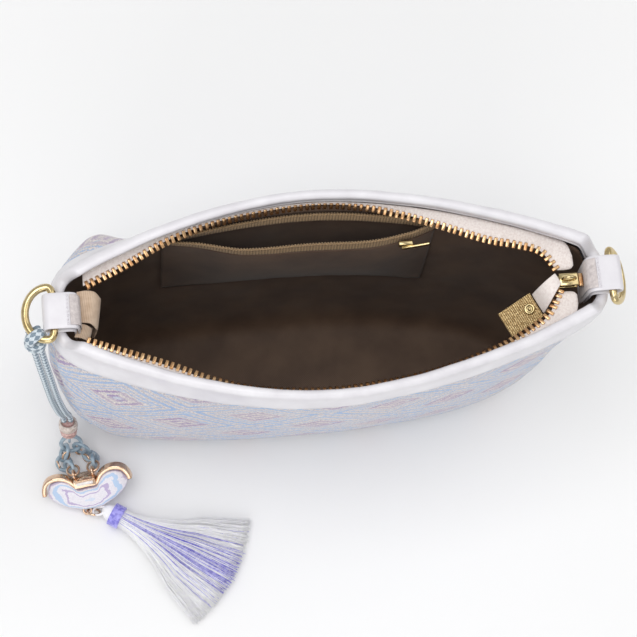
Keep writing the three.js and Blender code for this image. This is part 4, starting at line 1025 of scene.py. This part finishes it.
# Nylon coil zip: brown polyester tape with fine lengthwise cords, and a moulded nylon coil
# that shines a little more than the tape.
coil_tape, tree, shader = new_material("brown_coil_tape", Roughness=0.62, Sheen_Weight=0.15)
cords = texture(tree, "Wave", "uv", 380.0, "Y", Distortion=0.3)
stitches = texture(tree, "Wave", "uv", 250.0, "X", Distortion=0.2)
tone = compute(tree, "MULTIPLY_ADD", cords, 0.6, stitches)
connect(tree, shader, tone, 0.6, 0.2, Base_Color=ramp(tree, tone, (0.2, "#7A6046"), (1.0, "#B4966F")))

low = POCKET_TOP + GAP
open_lip = at[pocket_bulge(at, POCKET_TOP) > COIL_THICKNESS + GAP]
for name, lip, out in (("front", at, pocket_bulge(at, POCKET_TOP)), ("back", open_lip, 0 * open_lip)):
    heights = np.linspace(low, low + COIL_HEIGHT - 0.8, 8)
    rows = np.array([pocket_points(lip, z, out + COIL_THICKNESS / 2) for z in heights])
    rows[..., 2] += 0.2 * ripple(rows, 9, 13)
    uv = np.stack(np.broadcast_arrays(lengths(rows[0])[None, :], heights[:, None]), -1) * MM
    strip = settle(grid_mesh(f"pocket_tape_{name}", rows, uv))
    add_modifier(strip, "SOLIDIFY", thickness=0.7 * MM, offset=0.0)
    edge = smooth_path(rows[-1], COIL_STATIONS)
    ring = 2 * math.pi * lengths(edge) / COIL_PITCH
    coil_path = edge + np.stack([0 * ring, 0.5 * np.cos(ring), 0.55 * np.sin(ring)], 1)
    join(strip, tube("coil", coil_path, COIL_WIRE / 2, 5))
    dress(strip, coil_tape, "coil", f"pocket_zip_{name}")

body = add_block("pocket_pull", (6, 2.4, 5.4))
select_faces(body, lambda face: face.normal.x > 0.9)
bpy.ops.transform.resize(value=(1, 0.8, 0.6))
soften(body, 0.5, 3)
tongue = add_block("tongue", (12, 1.0, 3))
select_faces(tongue, lambda face: face.normal.x > 0.9)
bpy.ops.transform.resize(value=(1, 1, 0.7))
soften(tongue, 0.3, 3)
tongue.data.transform(moved(4.3, -1.2, 0) @ turned_by(math.radians(-20), "Y"))
join(body, tongue)
spot = pocket_points(COIL_SLIDER_AT, low + COIL_HEIGHT / 2,
                     pocket_bulge(COIL_SLIDER_AT, POCKET_TOP) + COIL_THICKNESS + GAP)
body.data.transform(moved(*spot) @ moved(0, -1.2 - 3 * GAP, 0))
dress(body, gold_plating, "plate", "pocket_slider")

# Tabs
# A strap of the rim's leather is folded round each ring's bar, comes back on itself and is
# sewn down inside the mouth, with one row of white stitches and a beige tape facing whose
# grey is partly painted shade.
TAB_WIDTH = 15
TAB_TAIL = 19
TAB_OUT = 5.6
RIGHT_TAB_SHIFT = 1
STITCH_PITCH = 1.7
STITCH_LENGTH = 1.15
STRAP_POINTS, FACING_POINTS = 130, 40
FACING_WIDTHS = (12.8, 11.4)
FACING_THICKNESS = 0.36

fold = TAB_OUT - LOOP_HALF_HEIGHT
wrap = RING_WIRE / 2 + GAP + TAB_LEATHER / 2
near, far = -TAB_INSET - TAB_LEATHER / 2, -TAB_INSET - 1.5 * TAB_LEATHER
# out from the seam and up from the ring's bar: up the outer end, round the bar and back
strap_line = [(far, -TAB_TAIL), (far, -12), (far, -5), (far + 0.2, -1), (far + 1.1, 1.3),
              (far + 3.1, 2.35), (-2.5, wrap), (fold, wrap)]
strap_line += [(fold + wrap * math.sin(t), wrap * math.cos(t))
               for t in np.radians([30, 60, 90, 120, 150])]
strap_line += [(fold, -wrap), (-2, -wrap), (-5, -wrap), (near + 0.7, -wrap - 0.6),
               (near + 0.05, -wrap - 2.2), (near, -12), (near, -TAB_TAIL)]
facing_line = [(-5.6, wrap + 0.9), (-7.4, 2.75), (-8.9, 1.6), (-9.55, -0.6), (-9.62, -5), (-9.62, -13)]

# The flesh side of the leather: matt, fibrous and lighter where it is rubbed; its warm grey
# is partly painted shade on the tab's inner end.
flesh_leather_painted_shade, tree, shader = new_material("leather_flesh_side_painted_shade", Roughness=0.85, Sheen_Weight=0.2)
fibres = texture(tree, "Noise", "object", 700.0, Detail=5.0, Roughness=0.7)
connect(tree, shader, fibres, 0.6, 0.3,
        Base_Color=ramp(tree, fibres, (0.32, "#B9B0AF"), (0.66, "#DDD4D2")))

# Waxed polyester sewing thread: white, twisted, slightly glossy.
thread, tree, shader = new_material("white_sewing_thread", Roughness=0.45, Sheen_Weight=0.2)
twist = texture(tree, "Wave", "object", 900.0, "DIAGONAL", Distortion=1.0)
connect(tree, shader, Base_Color=ramp(tree, twist, (0.2, "#C4BFC6"), (0.8, "#EFECF0")))

for side, end, seam, shift in (("left", -1, LEFT_SEAM, 0), ("right", 1, RIGHT_SEAM, RIGHT_TAB_SHIFT)):
    paths = [smooth_path([(seam + end * x, shift, BAR_HEIGHT + z) for x, z in line], count)
             for line, count in ((strap_line, STRAP_POINTS), (facing_line, FACING_POINTS))]
    path = paths[0]
    run = lengths(path)
    from_ends = np.minimum(run, run[-1] - run)
    widths = TAB_WIDTH - 2.6 * (1 - np.clip(from_ends / 15, 0, 1)) ** 1.5
    strap = ribbon(f"{side}_leather_tab", path, [0, 1, 0], widths, TAB_LEATHER * 0.95, 40)
    dress(strap, leather, "leather", f"{side}_tab")
    # The facing's grey stands partly for the shade on the inner end of the tab.
    facing = ribbon(f"{side}_tab_facing", paths[1], [0, 1, 0],
                    np.linspace(*FACING_WIDTHS, FACING_POINTS), FACING_THICKNESS)
    dress(facing, flesh_leather_painted_shade, "tape")
    stitches = []
    for y in np.arange(-TAB_WIDTH / 2 + 1.6, TAB_WIDTH / 2 - 1.2, STITCH_PITCH):
        bpy.ops.mesh.primitive_uv_sphere_add(segments=8, ring_count=6, radius=1)
        stitch = bpy.context.object
        place = moved(seam - end * 4.6, shift + y, BAR_HEIGHT + wrap + TAB_LEATHER / 2 + 0.12)
        stitch.data.transform(place @ Matrix.Diagonal((0.34 * MM, STITCH_LENGTH / 2 * MM, 0.32 * MM, 1)))
        stitch.data.shade_smooth()
        stitches.append(stitch)
    row = join(*stitches)
    row.name = f"{side}_tab_stitches"
    dress(row, thread, "leather")

# Tape tails
# At the left the raw ends of the zip tape are turned in behind the tab and hang down loose,
# one over the other.
TAIL_THICKNESS = 0.6
TAIL_STATIONS = 50

# The zip's own polyester tape, painted a darker tan than the rest as shade behind the tab,
# and darker in random blotches.
tail_tape_painted_shade, tree, shader = new_material("tape_end_painted_shade", Roughness=0.85, Sheen_Weight=0.25)
ribs = texture(tree, "Wave", "uv", 420.0, "X", Distortion=0.8)
dark_blotches = texture(tree, "Noise", "object", 240.0, Detail=4.0)
tone = compute(tree, "MULTIPLY_ADD", ribs, 0.3, dark_blotches)
# The tan colours are painted shade on the cream tape.
connect(tree, shader, tone, 0.5, 0.2, Base_Color=ramp(tree, tone, (0.3, "#B7997D"), (0.9, "#E2CBB4")))
for name, points, across, width in (
    ("back_tape_tail", [(-104.5, 2.6, 119.6), (-101.0, 3.0, 119.6), (-97.6, 2.8, 118.2),
                        (-95.4, 2.4, 114.6), (-95.2, 2.0, 109.5), (-97.4, 1.6, 103.5)],
     [0.16, 0.98, 0.06], 13.5),
    ("front_tape_tail", [(-104.5, -6.6, 118.6), (-101.8, -6.6, 117.6), (-99.4, -6.4, 114.6),
                         (-99.0, -6.2, 109.5), (-100.6, -6.0, 104.5)],
     [0.3, 0.95, 0], 6.0),
):
    path = smooth_path(points, TAIL_STATIONS)
    path[:, 1] += 0.6 * np.sin(path[:, 2] * 0.7)
    tail = ribbon(name, path, np.array(across) / np.linalg.norm(across), width, TAIL_THICKNESS)
    dress(tail, tail_tape_painted_shade, "tape")

# Rings
# A D ring of round wire is held in each tab; the wire is bent, butt-welded at the middle of
# its straight bar, and gold plated.
RING_WIDTH = 25
RING_DEPTH = 15
BAR_OUT = 0.8
RIGHT_RING_HANG = math.radians(55)
LEFT_RING_HANG = math.radians(8)
RING_STEPS, RING_ROUNDNESS = 24, 6
half = (RING_WIDTH - RING_WIRE) / 2 * MM
depth = (RING_DEPTH - RING_WIRE) * MM
# the bow, the two shoulders and the bar: each point with its handle before and after
D_SHAPE = [
    ((depth, 0), (depth, -0.55 * half), (depth, 0.55 * half)),
    ((0.25 * depth, half), (0.66 * depth, half), (0.05 * depth, half)),
    ((0, 0), (0, 0.8 * half), (0, -0.8 * half)),
    ((0.25 * depth, -half), (0.05 * depth, -half), (0.66 * depth, -half)),
]
for side, node, seam, body, turn in (
    ("right", "right_ring", RIGHT_SEAM + BAR_OUT, "right_ring_body", turned_by(RIGHT_RING_HANG, "Y")),
    ("left", "left_ring", LEFT_SEAM - BAR_OUT, "purse",
     turned_by(-LEFT_RING_HANG, "Y") @ turned_by(math.pi, "Z")),
):
    ring = start_wire(f"{side}_d_ring")
    for bend, (spot, before, after) in zip(ring.data.splines[0].bezier_points, D_SHAPE):
        bend.handle_left_type = bend.handle_right_type = "FREE"
        bend.co, bend.handle_left, bend.handle_right = (Vector((*p, 0)) for p in (spot, before, after))
    shift = RIGHT_TAB_SHIFT if side == "right" else 0
    ring = settle(finish_wire(ring, RING_WIRE, RING_STEPS, RING_ROUNDNESS,
                              moved(seam, shift, BAR_HEIGHT) @ turn))
    dress(ring, gold_plating, "gold", node, body=body)

# Bead
# A beige ring slides on a pink plug where the cords end, over a smaller pink ring with an
# eye; they are turned resin with a satin finish.
BEAD_CENTRE = Vector((-111.6, -21.2, 19.2))
BEAD_TILT = math.radians(24)
EYE_DIAMETER = 4.6
EYE_WIRE = 1.1
bead_place = moved(*BEAD_CENTRE) @ turned_by(-BEAD_TILT, "X")


def resin(name, dark, light, scale):
    """Turned resin: opaque and satin, with cloudy streaks of a second shade."""
    material, tree, shader = new_material(name, Roughness=0.4, Coat_Weight=0.2, Coat_Roughness=0.25)
    cloud = texture(tree, "Noise", "object", scale, Detail=4.0, Distortion=0.8)
    connect(tree, shader, cloud, 0.25, 0.2, Base_Color=ramp(tree, cloud, (0.35, dark), (0.65, light)))
    return material


beige_resin = resin("beige_resin", "#B5A39A", "#E5DAD2", 500.0)
pink_resin = resin("pink_resin", "#A97F7C", "#E0BDB6", 650.0)
collar = turned("bead_ring", [(2.9, 3.2), (2.8, 1.2), (3.2, 0.3), (3.8, 0.2), (4.15, 1.0), (4.2, 2.4),
                              (4.0, 3.9), (3.5, 4.5), (3.1, 4.2), (2.88, 3.0)])
collar.data.transform(bead_place)
dress(collar, beige_resin, "bead", "cord_bead")
plug = turned("bead_plug", [(0.02, 4.9), (1.4, 4.8), (2.3, 4.3), (2.65, 3.4), (2.7, 0.4), (3.1, 0.0),
                            (3.7, -0.5), (3.85, -1.4), (3.6, -2.2), (3.2, -2.4), (3.55, -2.8),
                            (3.5, -3.6), (2.6, -4.3), (0.02, -4.5)], 48, 16, 0.035)
plug.data.transform(bead_place)
dress(plug, pink_resin, "bead")
eye_place = bead_place @ moved(0, 0, -4.5 - EYE_DIAMETER / 2 + EYE_WIRE / 4)
eye = wire_loop("bead_eye", EYE_DIAMETER / 2, EYE_DIAMETER / 2, EYE_WIRE,
                eye_place @ turned_by(math.pi / 2, "Y"))

# Enamelled wire: steel wire dipped in blue-grey enamel, glossy, a little thin and darker
# on the sharp bends.
enamel, tree, shader = new_material("blue_grey_enamel", Roughness=0.3, Coat_Weight=0.5,
                                    Coat_Roughness=0.12)
pooled = texture(tree, "Noise", "object", 380.0, Detail=2.0)
connect(tree, shader, pooled, 0.3, 0.3,
        Base_Color=ramp(tree, pooled, (0.3, "#7B92A2"), (0.7, "#ACBDC9")))
dress(eye, enamel, "link")

# Chain
# Two short runs of oval enamelled links join the bead to the lock, each closed by a small
# gold jump ring.
LINK_WIRE = 1.1
LINK_SHOWN = 1.75
JUMP_WIRE = 1.1
TIE_LENGTH, TIE_WIDTH, TIE_WIRE = 3.8, 3.0, 0.9


def node_axes(node):
    """The place and turn of a node's wire loop, and the half sizes of its centre line."""
    points = np.unique(np.round([v.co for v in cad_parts[node].data.vertices], 7), axis=0)
    axes = np.linalg.svd(points - points.mean(0))[2]
    if np.linalg.det(axes) < 0:
        axes[2] *= -1
    flat = points @ axes.T
    middle = axes.T @ ((flat.min(0) + flat.max(0)) / 2)
    place = Matrix.Translation(middle) @ Matrix(axes.T.tolist()).to_4x4()
    return place, (flat.max(0) - flat.min(0)) / 2 / MM


runs = [f"chain_link_{side}_{i}" for side in ("left", "right") for i in (1, 2, 3)]
for node in ["chain_link_top", *runs]:
    place, sizes = node_axes(node)
    link = wire_loop(node.replace("chain_", "enamel_"), sizes[0] - LINK_WIRE / 2,
                     sizes[1] - LINK_WIRE / 2, LINK_SHOWN, place)
    dress(link, enamel, "link", node)

# Rose-gold plating over brass, highly polished, with a warm pink cast.
rose_gold, tree, shader = new_material("rose_gold_plating", Metallic=1.0)
swirls = texture(tree, "Noise", "object", 300.0, Detail=5.0, Roughness=0.7)
connect(tree, shader, Base_Color=ramp(tree, swirls, (0.3, "#CFA888"), (0.7, "#F0D6BE")),
        Roughness=rescale(tree, swirls, (0.3, 0.75), (0.12, 0.28)))
for side in ("left", "right"):
    for i in (1, 2):
        place, sizes = node_axes(f"chain_link_{side}_{i}")
        tie_place = place @ moved(0, sizes[1] - 0.8, 0) @ turned_by(math.pi / 2, "X")
        tie = wire_loop(f"gold_tie_{side}_{i}", TIE_LENGTH / 2, TIE_WIDTH / 2, TIE_WIRE, tie_place)
        dress(tie, rose_gold, "frame")
for node in ("jump_ring_left", "jump_ring_right", "tassel_ring"):
    place, sizes = node_axes(node)
    ring = wire_loop(node.replace("ring", "loop"), sizes[0] - JUMP_WIRE / 2,
                     sizes[1] - JUMP_WIRE / 2, JUMP_WIRE, place)
    dress(ring, rose_gold, "frame", node)

# Lock charm
# A small padded cushion of brocade in the shape of an old lock, edged above by a gold
# frame that carries a clasp with a pearl inlay and two eyes for the chain.
LOCK_CENTRE = Vector((-104.6, -47.2, 9.8))
LOCK_LEAN, LOCK_YAW, LOCK_SPIN = math.radians(48), math.radians(-10), math.radians(20)
LOCK_WIDTH, LOCK_HEIGHT, LOCK_THICKNESS = 41, 18, 6.4
FRAME_WALL = 1.7
FRAME_LIP = 0.7
EDGING_WIDTH = 4.6
LOCK_COLUMNS, LOCK_SIDES = 71, 48
PAD_SQUARE = 0.55
CLASP_LENGTH, CLASP_HEIGHT, CLASP_LIFT = 9.6, 3.4, 1.2
FOOT_EYE_SHIFT = -3.5
# share of the half width, then top and foot as shares of the height
LOCK_LINE = np.array([(0, 0.2, -0.53), (0.24, 0.21, -0.51), (0.36, 0.38, -0.47), (0.55, 0.5, -0.39),
                      (0.78, 0.5, -0.25), (0.92, 0.4, -0.12), (0.985, 0.24, -0.02), (1, 0.12, 0.02)])
lock_place = (moved(*LOCK_CENTRE) @ turned_by(LOCK_YAW, "Z")
              @ turned_by(math.pi / 2 - LOCK_LEAN, "X") @ turned_by(LOCK_SPIN, "Z"))

t = np.linspace(-1, 1, LOCK_COLUMNS)
u = np.sign(t) * (1 - (1 - np.abs(t)) ** 1.8)
outline = blend(LOCK_LINE, np.abs(u))
seam = FRAME_WALL + 2 * GAP
high, low_edge = outline[:, 1] * LOCK_HEIGHT - seam, outline[:, 2] * LOCK_HEIGHT
angle = circle(LOCK_SIDES)
swell = (1 - 0.9 * np.abs(u) ** 5) * LOCK_THICKNESS / 2
rise, out = squared(np.sin(angle), PAD_SQUARE), squared(np.cos(angle), PAD_SQUARE)
x = np.repeat((u * (LOCK_WIDTH - 2 * seam) / 2)[:, None], LOCK_SIDES, 1)
y = ((high + low_edge) / 2)[:, None] + (high - low_edge)[:, None] / 2 * rise
rows = np.stack([x, y, swell[:, None] * out], -1)
rows[..., 2] += np.sign(out) * (0.22 * ripple(rows, 5, 17) - 0.2) * np.abs(out)
pad_uv = np.stack(np.broadcast_arrays(u[:, None], np.append(rise, rise[0])[None, :]), -1)
pad = settle(grid_mesh("lock_cushion", rows, pad_uv, wrap=True, caps=True))
pad.data.transform(lock_place)

# Charm brocade: a finer, shinier satin brocade than the bag's, with broad bands of pale
# blue and lilac that follow the edge of the cushion.
charm_cloth, tree, shader = new_material("satin_brocade", Roughness=0.42, Sheen_Weight=0.3)
across, height = (compute(tree, "ABSOLUTE", part) for part in parts(tree, layout(tree, "uv"))[:2])
level = compute(tree, "SUBTRACT", compute(tree, "SMOOTH_MAX", across, height, 0.35), 0.25)
weft = texture(tree, "Noise", "object", 1500.0, Detail=2.0)
drift = texture(tree, "Noise", "object", 190.0, Detail=5.0, Roughness=0.6)
rough_level = compute(tree, "MULTIPLY_ADD", drift, 0.5, level)
shades = mix(tree, weft, "#D4D0DC", "#F6F3F7")
for stops, code in ((((0, 0.35), (0.13, 0), (0.7, 0.8), (0.83, 0)), "#A9C8EA"),
                    (((0, 0), (0.46, 0.75), (0.55, 0), (0.93, 0.6)), "#AC96C6")):
    shades = mix(tree, bands(tree, rough_level, stops), shades, code)
connect(tree, shader, weft, 0.3, 0.12, Base_Color=shades)
dress(pad, charm_cloth, "brocade", "lock_pad")

top_line = outline[:, 1] * LOCK_HEIGHT - FRAME_WALL / 2
frame_path = smooth_path(np.stack([u * (LOCK_WIDTH - FRAME_WALL) / 2, top_line, 0 * u], 1), 120)
edging = ribbon("lock_edging", frame_path, [0, 0, 1], EDGING_WIDTH, FRAME_WALL * 1.25, 24)
lift = LOCK_LINE[0, 1] * LOCK_HEIGHT + CLASP_LIFT
clasp = add_block("clasp", (CLASP_LENGTH, CLASP_HEIGHT, LOCK_THICKNESS + 3 * FRAME_LIP))
select_faces(clasp, lambda face: abs(face.normal.z) > 0.9)
bpy.ops.mesh.inset(thickness=0.6 * MM, use_individual=True)
bpy.ops.transform.resize(value=(1, 1, 0.93), center_override=(0, 0, 0))
soften(clasp, 0.18)
clasp.data.transform(moved(0, lift, 0))
eye_lift = lift + (CLASP_HEIGHT + EYE_DIAMETER - EYE_WIRE) / 2
eye_reach = (CLASP_LENGTH - EYE_WIRE) / 2
eye_size = (EYE_DIAMETER - EYE_WIRE) / 2
eyes = [wire_loop("clasp_eye", eye_size, eye_size, EYE_WIRE,
                  moved(side * eye_reach, eye_lift, 0) @ turned_by(math.pi / 2, "Y"))
        for side in (-1, 1)]
lock_frame = join(edging, clasp, *eyes)
lock_frame.data.transform(lock_place)
dress(lock_frame, rose_gold, "frame", "lock_frame")
inlay = add_block("clasp_inlay", (CLASP_LENGTH - 1.9, CLASP_HEIGHT - 1.9,
                                  LOCK_THICKNESS + 3 * FRAME_LIP - 0.3))
soften(inlay, 0.3, 3)
inlay.data.transform(lock_place @ moved(0, lift, 0))
pearl = resin("pearl_resin", "#D9D2D2", "#F8F4F1", 420.0)
dress(inlay, pearl, "frame")
foot_eye = wire_loop("foot_eye", eye_size, eye_size, EYE_WIRE, lock_place @ moved(
    FOOT_EYE_SHIFT, LOCK_LINE[0, 2] * LOCK_HEIGHT - EYE_DIAMETER / 2 + EYE_WIRE, 0))
dress(foot_eye, rose_gold, "frame")

# Tassel
# About eleven hundred silk threads hang from a looped head that a violet thread binds. They
# lie fanned out on the floor, white outside with a violet heart.
TASSEL_PLACE = Vector((-92.8, -59.8, 5.4))
TASSEL_YAW = math.radians(-32)
NECK_RADIUS = 4.2
BAND_LENGTH = 5
BAND_WALL = 0.8
BAND_WINDS = 11
SKIRT_LENGTH = 57
SKIRT_SPREAD = math.radians(44)
SKIRT_THREADS = 1100
THREAD_WIDTH = 0.36
HEART_REACH = 0.965
tassel_place = moved(*TASSEL_PLACE) @ turned_by(TASSEL_YAW, "Z")

# Rayon silk: smooth filaments with a strong soft gloss; the attribute says how violet each
# thread is.
silk, tree, shader = new_material("rayon_silk", Roughness=0.36, Sheen_Weight=0.5, Sheen_Roughness=0.3)
violet_share = add_node(tree, "Attribute", {}, attribute_name="violet")
uneven = rescale(tree, texture(tree, "Noise", "object", 700.0, Detail=2.0), (0.36, 0.64))
white_silk = mix(tree, uneven, "#FAF9FE", "#FFFFFF")
violet_silk = mix(tree, uneven, "#564BD2", "#A8A2F8")
connect(tree, shader, Base_Color=mix(tree, violet_share.outputs["Fac"], white_silk, violet_silk))


def tint(piece, values):
    """Writes how violet each point of a silk piece is."""
    layer = piece.data.attributes.new("violet", "FLOAT", "POINT")
    layer.data.foreach_set("value", np.broadcast_to(values, len(piece.data.vertices)).astype(np.float32))


def skirt_lay(share, side, layer):
    """Points of the skirt: share of its length, side from -1 to 1, and layer from -1 to 1."""
    share, side, layer = np.broadcast_arrays(np.asarray(share, float), side, layer)
    aim = side * SKIRT_SPREAD / 2
    opening = share**0.8
    x = BAND_LENGTH / 2 - 1.0 + share * SKIRT_LENGTH * np.cos(aim * share) * (1 - 0.03 * np.abs(aim))
    y = side * NECK_RADIUS * 0.92 * (1 + 0.5 * share)
    y = y + np.sin(aim * np.minimum(share * 1.5 + 0.1, 1)) * share * SKIRT_LENGTH * 0.93
    thick = NECK_RADIUS * 0.92 * (1 - opening) + 1.7 * opening
    z = opening * (2.1 - TASSEL_PLACE.z)
    return np.stack([x, y, z + thick * layer * np.sqrt(np.maximum(1 - 0.9 * side**2, 0))], -1)


angle = circle(64)
share = np.linspace(0, HEART_REACH, 30)[:, None]
heart_points = skirt_lay(share, np.cos(angle), 0.9 * np.sin(angle))
heart = settle(grid_mesh("silk_heart", heart_points, wrap=True, caps=True))
sides = np.array([abs(v.co.y / MM) / (NECK_RADIUS + v.co.x / MM * 0.36) for v in heart.data.vertices])
tint(heart, 0.45 * np.exp(-((sides / 0.4) ** 2)))

chance = np.random.default_rng(7)
steps = np.linspace(0, 1, 11)
corners = 2 * math.pi * np.arange(3) / 3
vertices, faces, shade = [], [], []
for index in range(SKIRT_THREADS):
    side = np.clip(chance.normal(0, 0.55), -1, 1) if index % 3 else chance.uniform(-1, 1)
    is_violet = chance.random() < 0.6 * math.exp(-((side / 0.36) ** 2))
    layer = 1.06 + 0.2 * chance.random() if is_violet or chance.random() < 0.75 else -1.0
    reach = 1 + chance.normal(0, 0.01) - 0.05 * chance.random() ** 6
    swing = chance.normal(0, 0.035, 2)
    path = skirt_lay(steps * reach, side + swing[0] * np.sin(steps * 3.1) + swing[1] * steps, layer)
    lift = 0.3 * chance.normal() * np.sin(steps * 2.6)
    path[:, 2] = np.maximum(path[:, 2] + lift, 0.35 - TASSEL_PLACE.z)
    size = THREAD_WIDTH / 2 * (1 - 0.3 * steps[:, None])
    spin = corners + chance.uniform(0, 2)
    ring_y, ring_z = np.cos(spin)[None] * size, np.sin(spin)[None] * size
    first = len(vertices) * len(steps) * 3
    loop = np.stack([np.repeat(path[:, :1], 3, 1), path[:, 1:2] + ring_y, path[:, 2:3] + ring_z], -1)
    vertices.append(loop.reshape(-1, 3))
    for i in range(len(steps) - 1):
        for k in range(3):
            a, b = first + i * 3 + k, first + i * 3 + (k + 1) % 3
            faces.append((a, b, b + 3, a + 3))
    last = first + (len(steps) - 1) * 3
    faces += [(first + 2, first + 1, first), (last, last + 1, last + 2)]
    shade.append(np.full(len(steps) * 3, (0.65 + 0.35 * chance.random()) * is_violet))
skirt = new_piece("silk_skirt", np.vstack(vertices) * MM, faces)
tint(skirt, np.concatenate(shade))
join(skirt, heart)
skirt.data.transform(tassel_place)
skirt.data.shade_smooth()
dress(skirt, silk, "silk", "tassel")

head = turned("silk_head", [(0.4, 0.2), (1.9, 0.9), (3.1, 2.4), (3.7, 4.0), (4.1, 5.6), (4.2, 7.6),
                            (4.2, 9.4), (3.9, 10.6), (0.4, 10.7)], 60, 30, 0.018)
head.data.transform(tassel_place @ moved(-7.4, 0, 0) @ turned_by(math.pi / 2, "Y"))
tint(head, 0.0)
dress(head, silk, "silk")
# three twisted strands reach from the head to the ring
foot = Vector((-BAND_LENGTH / 2 - 3.8, 0, 0))
reach = tassel_place.inverted() @ node_axes("tassel_ring")[0].translation / MM - foot
turn = reach.to_track_quat("X", "Z").to_matrix().to_4x4()
loops = []
for shift in (-0.7, 0.1, 0.8):
    middle = foot + reach / 2 + Vector((0, 0, shift))
    place = tassel_place @ moved(*middle) @ turn @ turned_by(0.5 * shift, "X")
    loops.append(wire_loop("silk_loop", reach.length / 2 + 0.3, 2.0 + 0.4 * shift, 0.8, place))
silk_loop = join(*loops)
tint(silk_loop, 0.0)
dress(silk_loop, silk, "silk")

# Violet rayon thread, wound tight round the neck in even turns.
profile = [(NECK_RADIUS + 0.1, -BAND_LENGTH / 2)]
for k in range(BAND_WINDS * 4 + 1):
    bulge = 0.22 * abs(math.sin(math.pi * k / 4))
    along = (k / (BAND_WINDS * 4) - 0.5) * BAND_LENGTH
    profile.append((NECK_RADIUS + GAP + BAND_WALL - 0.25 + bulge, along))
profile.append((NECK_RADIUS + 0.1, BAND_LENGTH / 2))
band = turned("silk_binding", profile, 48)
band.data.transform(tassel_place @ turned_by(math.pi / 2, "Y"))
tint(band, 0.85)
dress(band, silk, "violet", "tassel_band")

# Studio
# A plain pale floor, one broad soft lamp high on the left, weaker ones on the right and in
# front, and even white surroundings.
FLOOR_SIZE = 24.0
LAMPS = [
    # place, aim, size in metres, power in watts
    ((-0.35, -0.08, 1.25), (0, 0, 0.05), 0.9, 7.0),
    ((0.7, 0.25, 1.0), (0, 0, 0.05), 0.9, 2.4),
    ((-0.2, -1.1, 0.6), (0, 0, 0.05), 0.8, 3.0),
]
paper, tree, shader = new_material("white_studio_paper", Roughness=0.9)
shader.inputs["Base Color"].default_value = paint("#F5F5F5")
bpy.ops.mesh.primitive_plane_add(size=FLOOR_SIZE, location=(0, 0, -0.0002))
floor = bpy.context.object
floor.name = "floor"
floor.data.materials.append(paper)
for place, aim, size, power in LAMPS:
    bpy.ops.object.light_add(type="AREA", location=place)
    lamp = bpy.context.object
    lamp.rotation_mode = "QUATERNION"
    lamp.rotation_quaternion = (Vector(aim) - Vector(place)).to_track_quat("-Z", "Y")
    lamp.data.size = size
    lamp.data.energy = power
world = bpy.data.worlds.new("soft_surroundings")
world.use_nodes = True
world.node_tree.nodes["Background"].inputs["Color"].default_value = paint("#F5F5F5")
world.node_tree.nodes["Background"].inputs["Strength"].default_value = 0.6
bpy.context.scene.world = world
bpy.context.scene.view_settings.view_transform = "Standard"
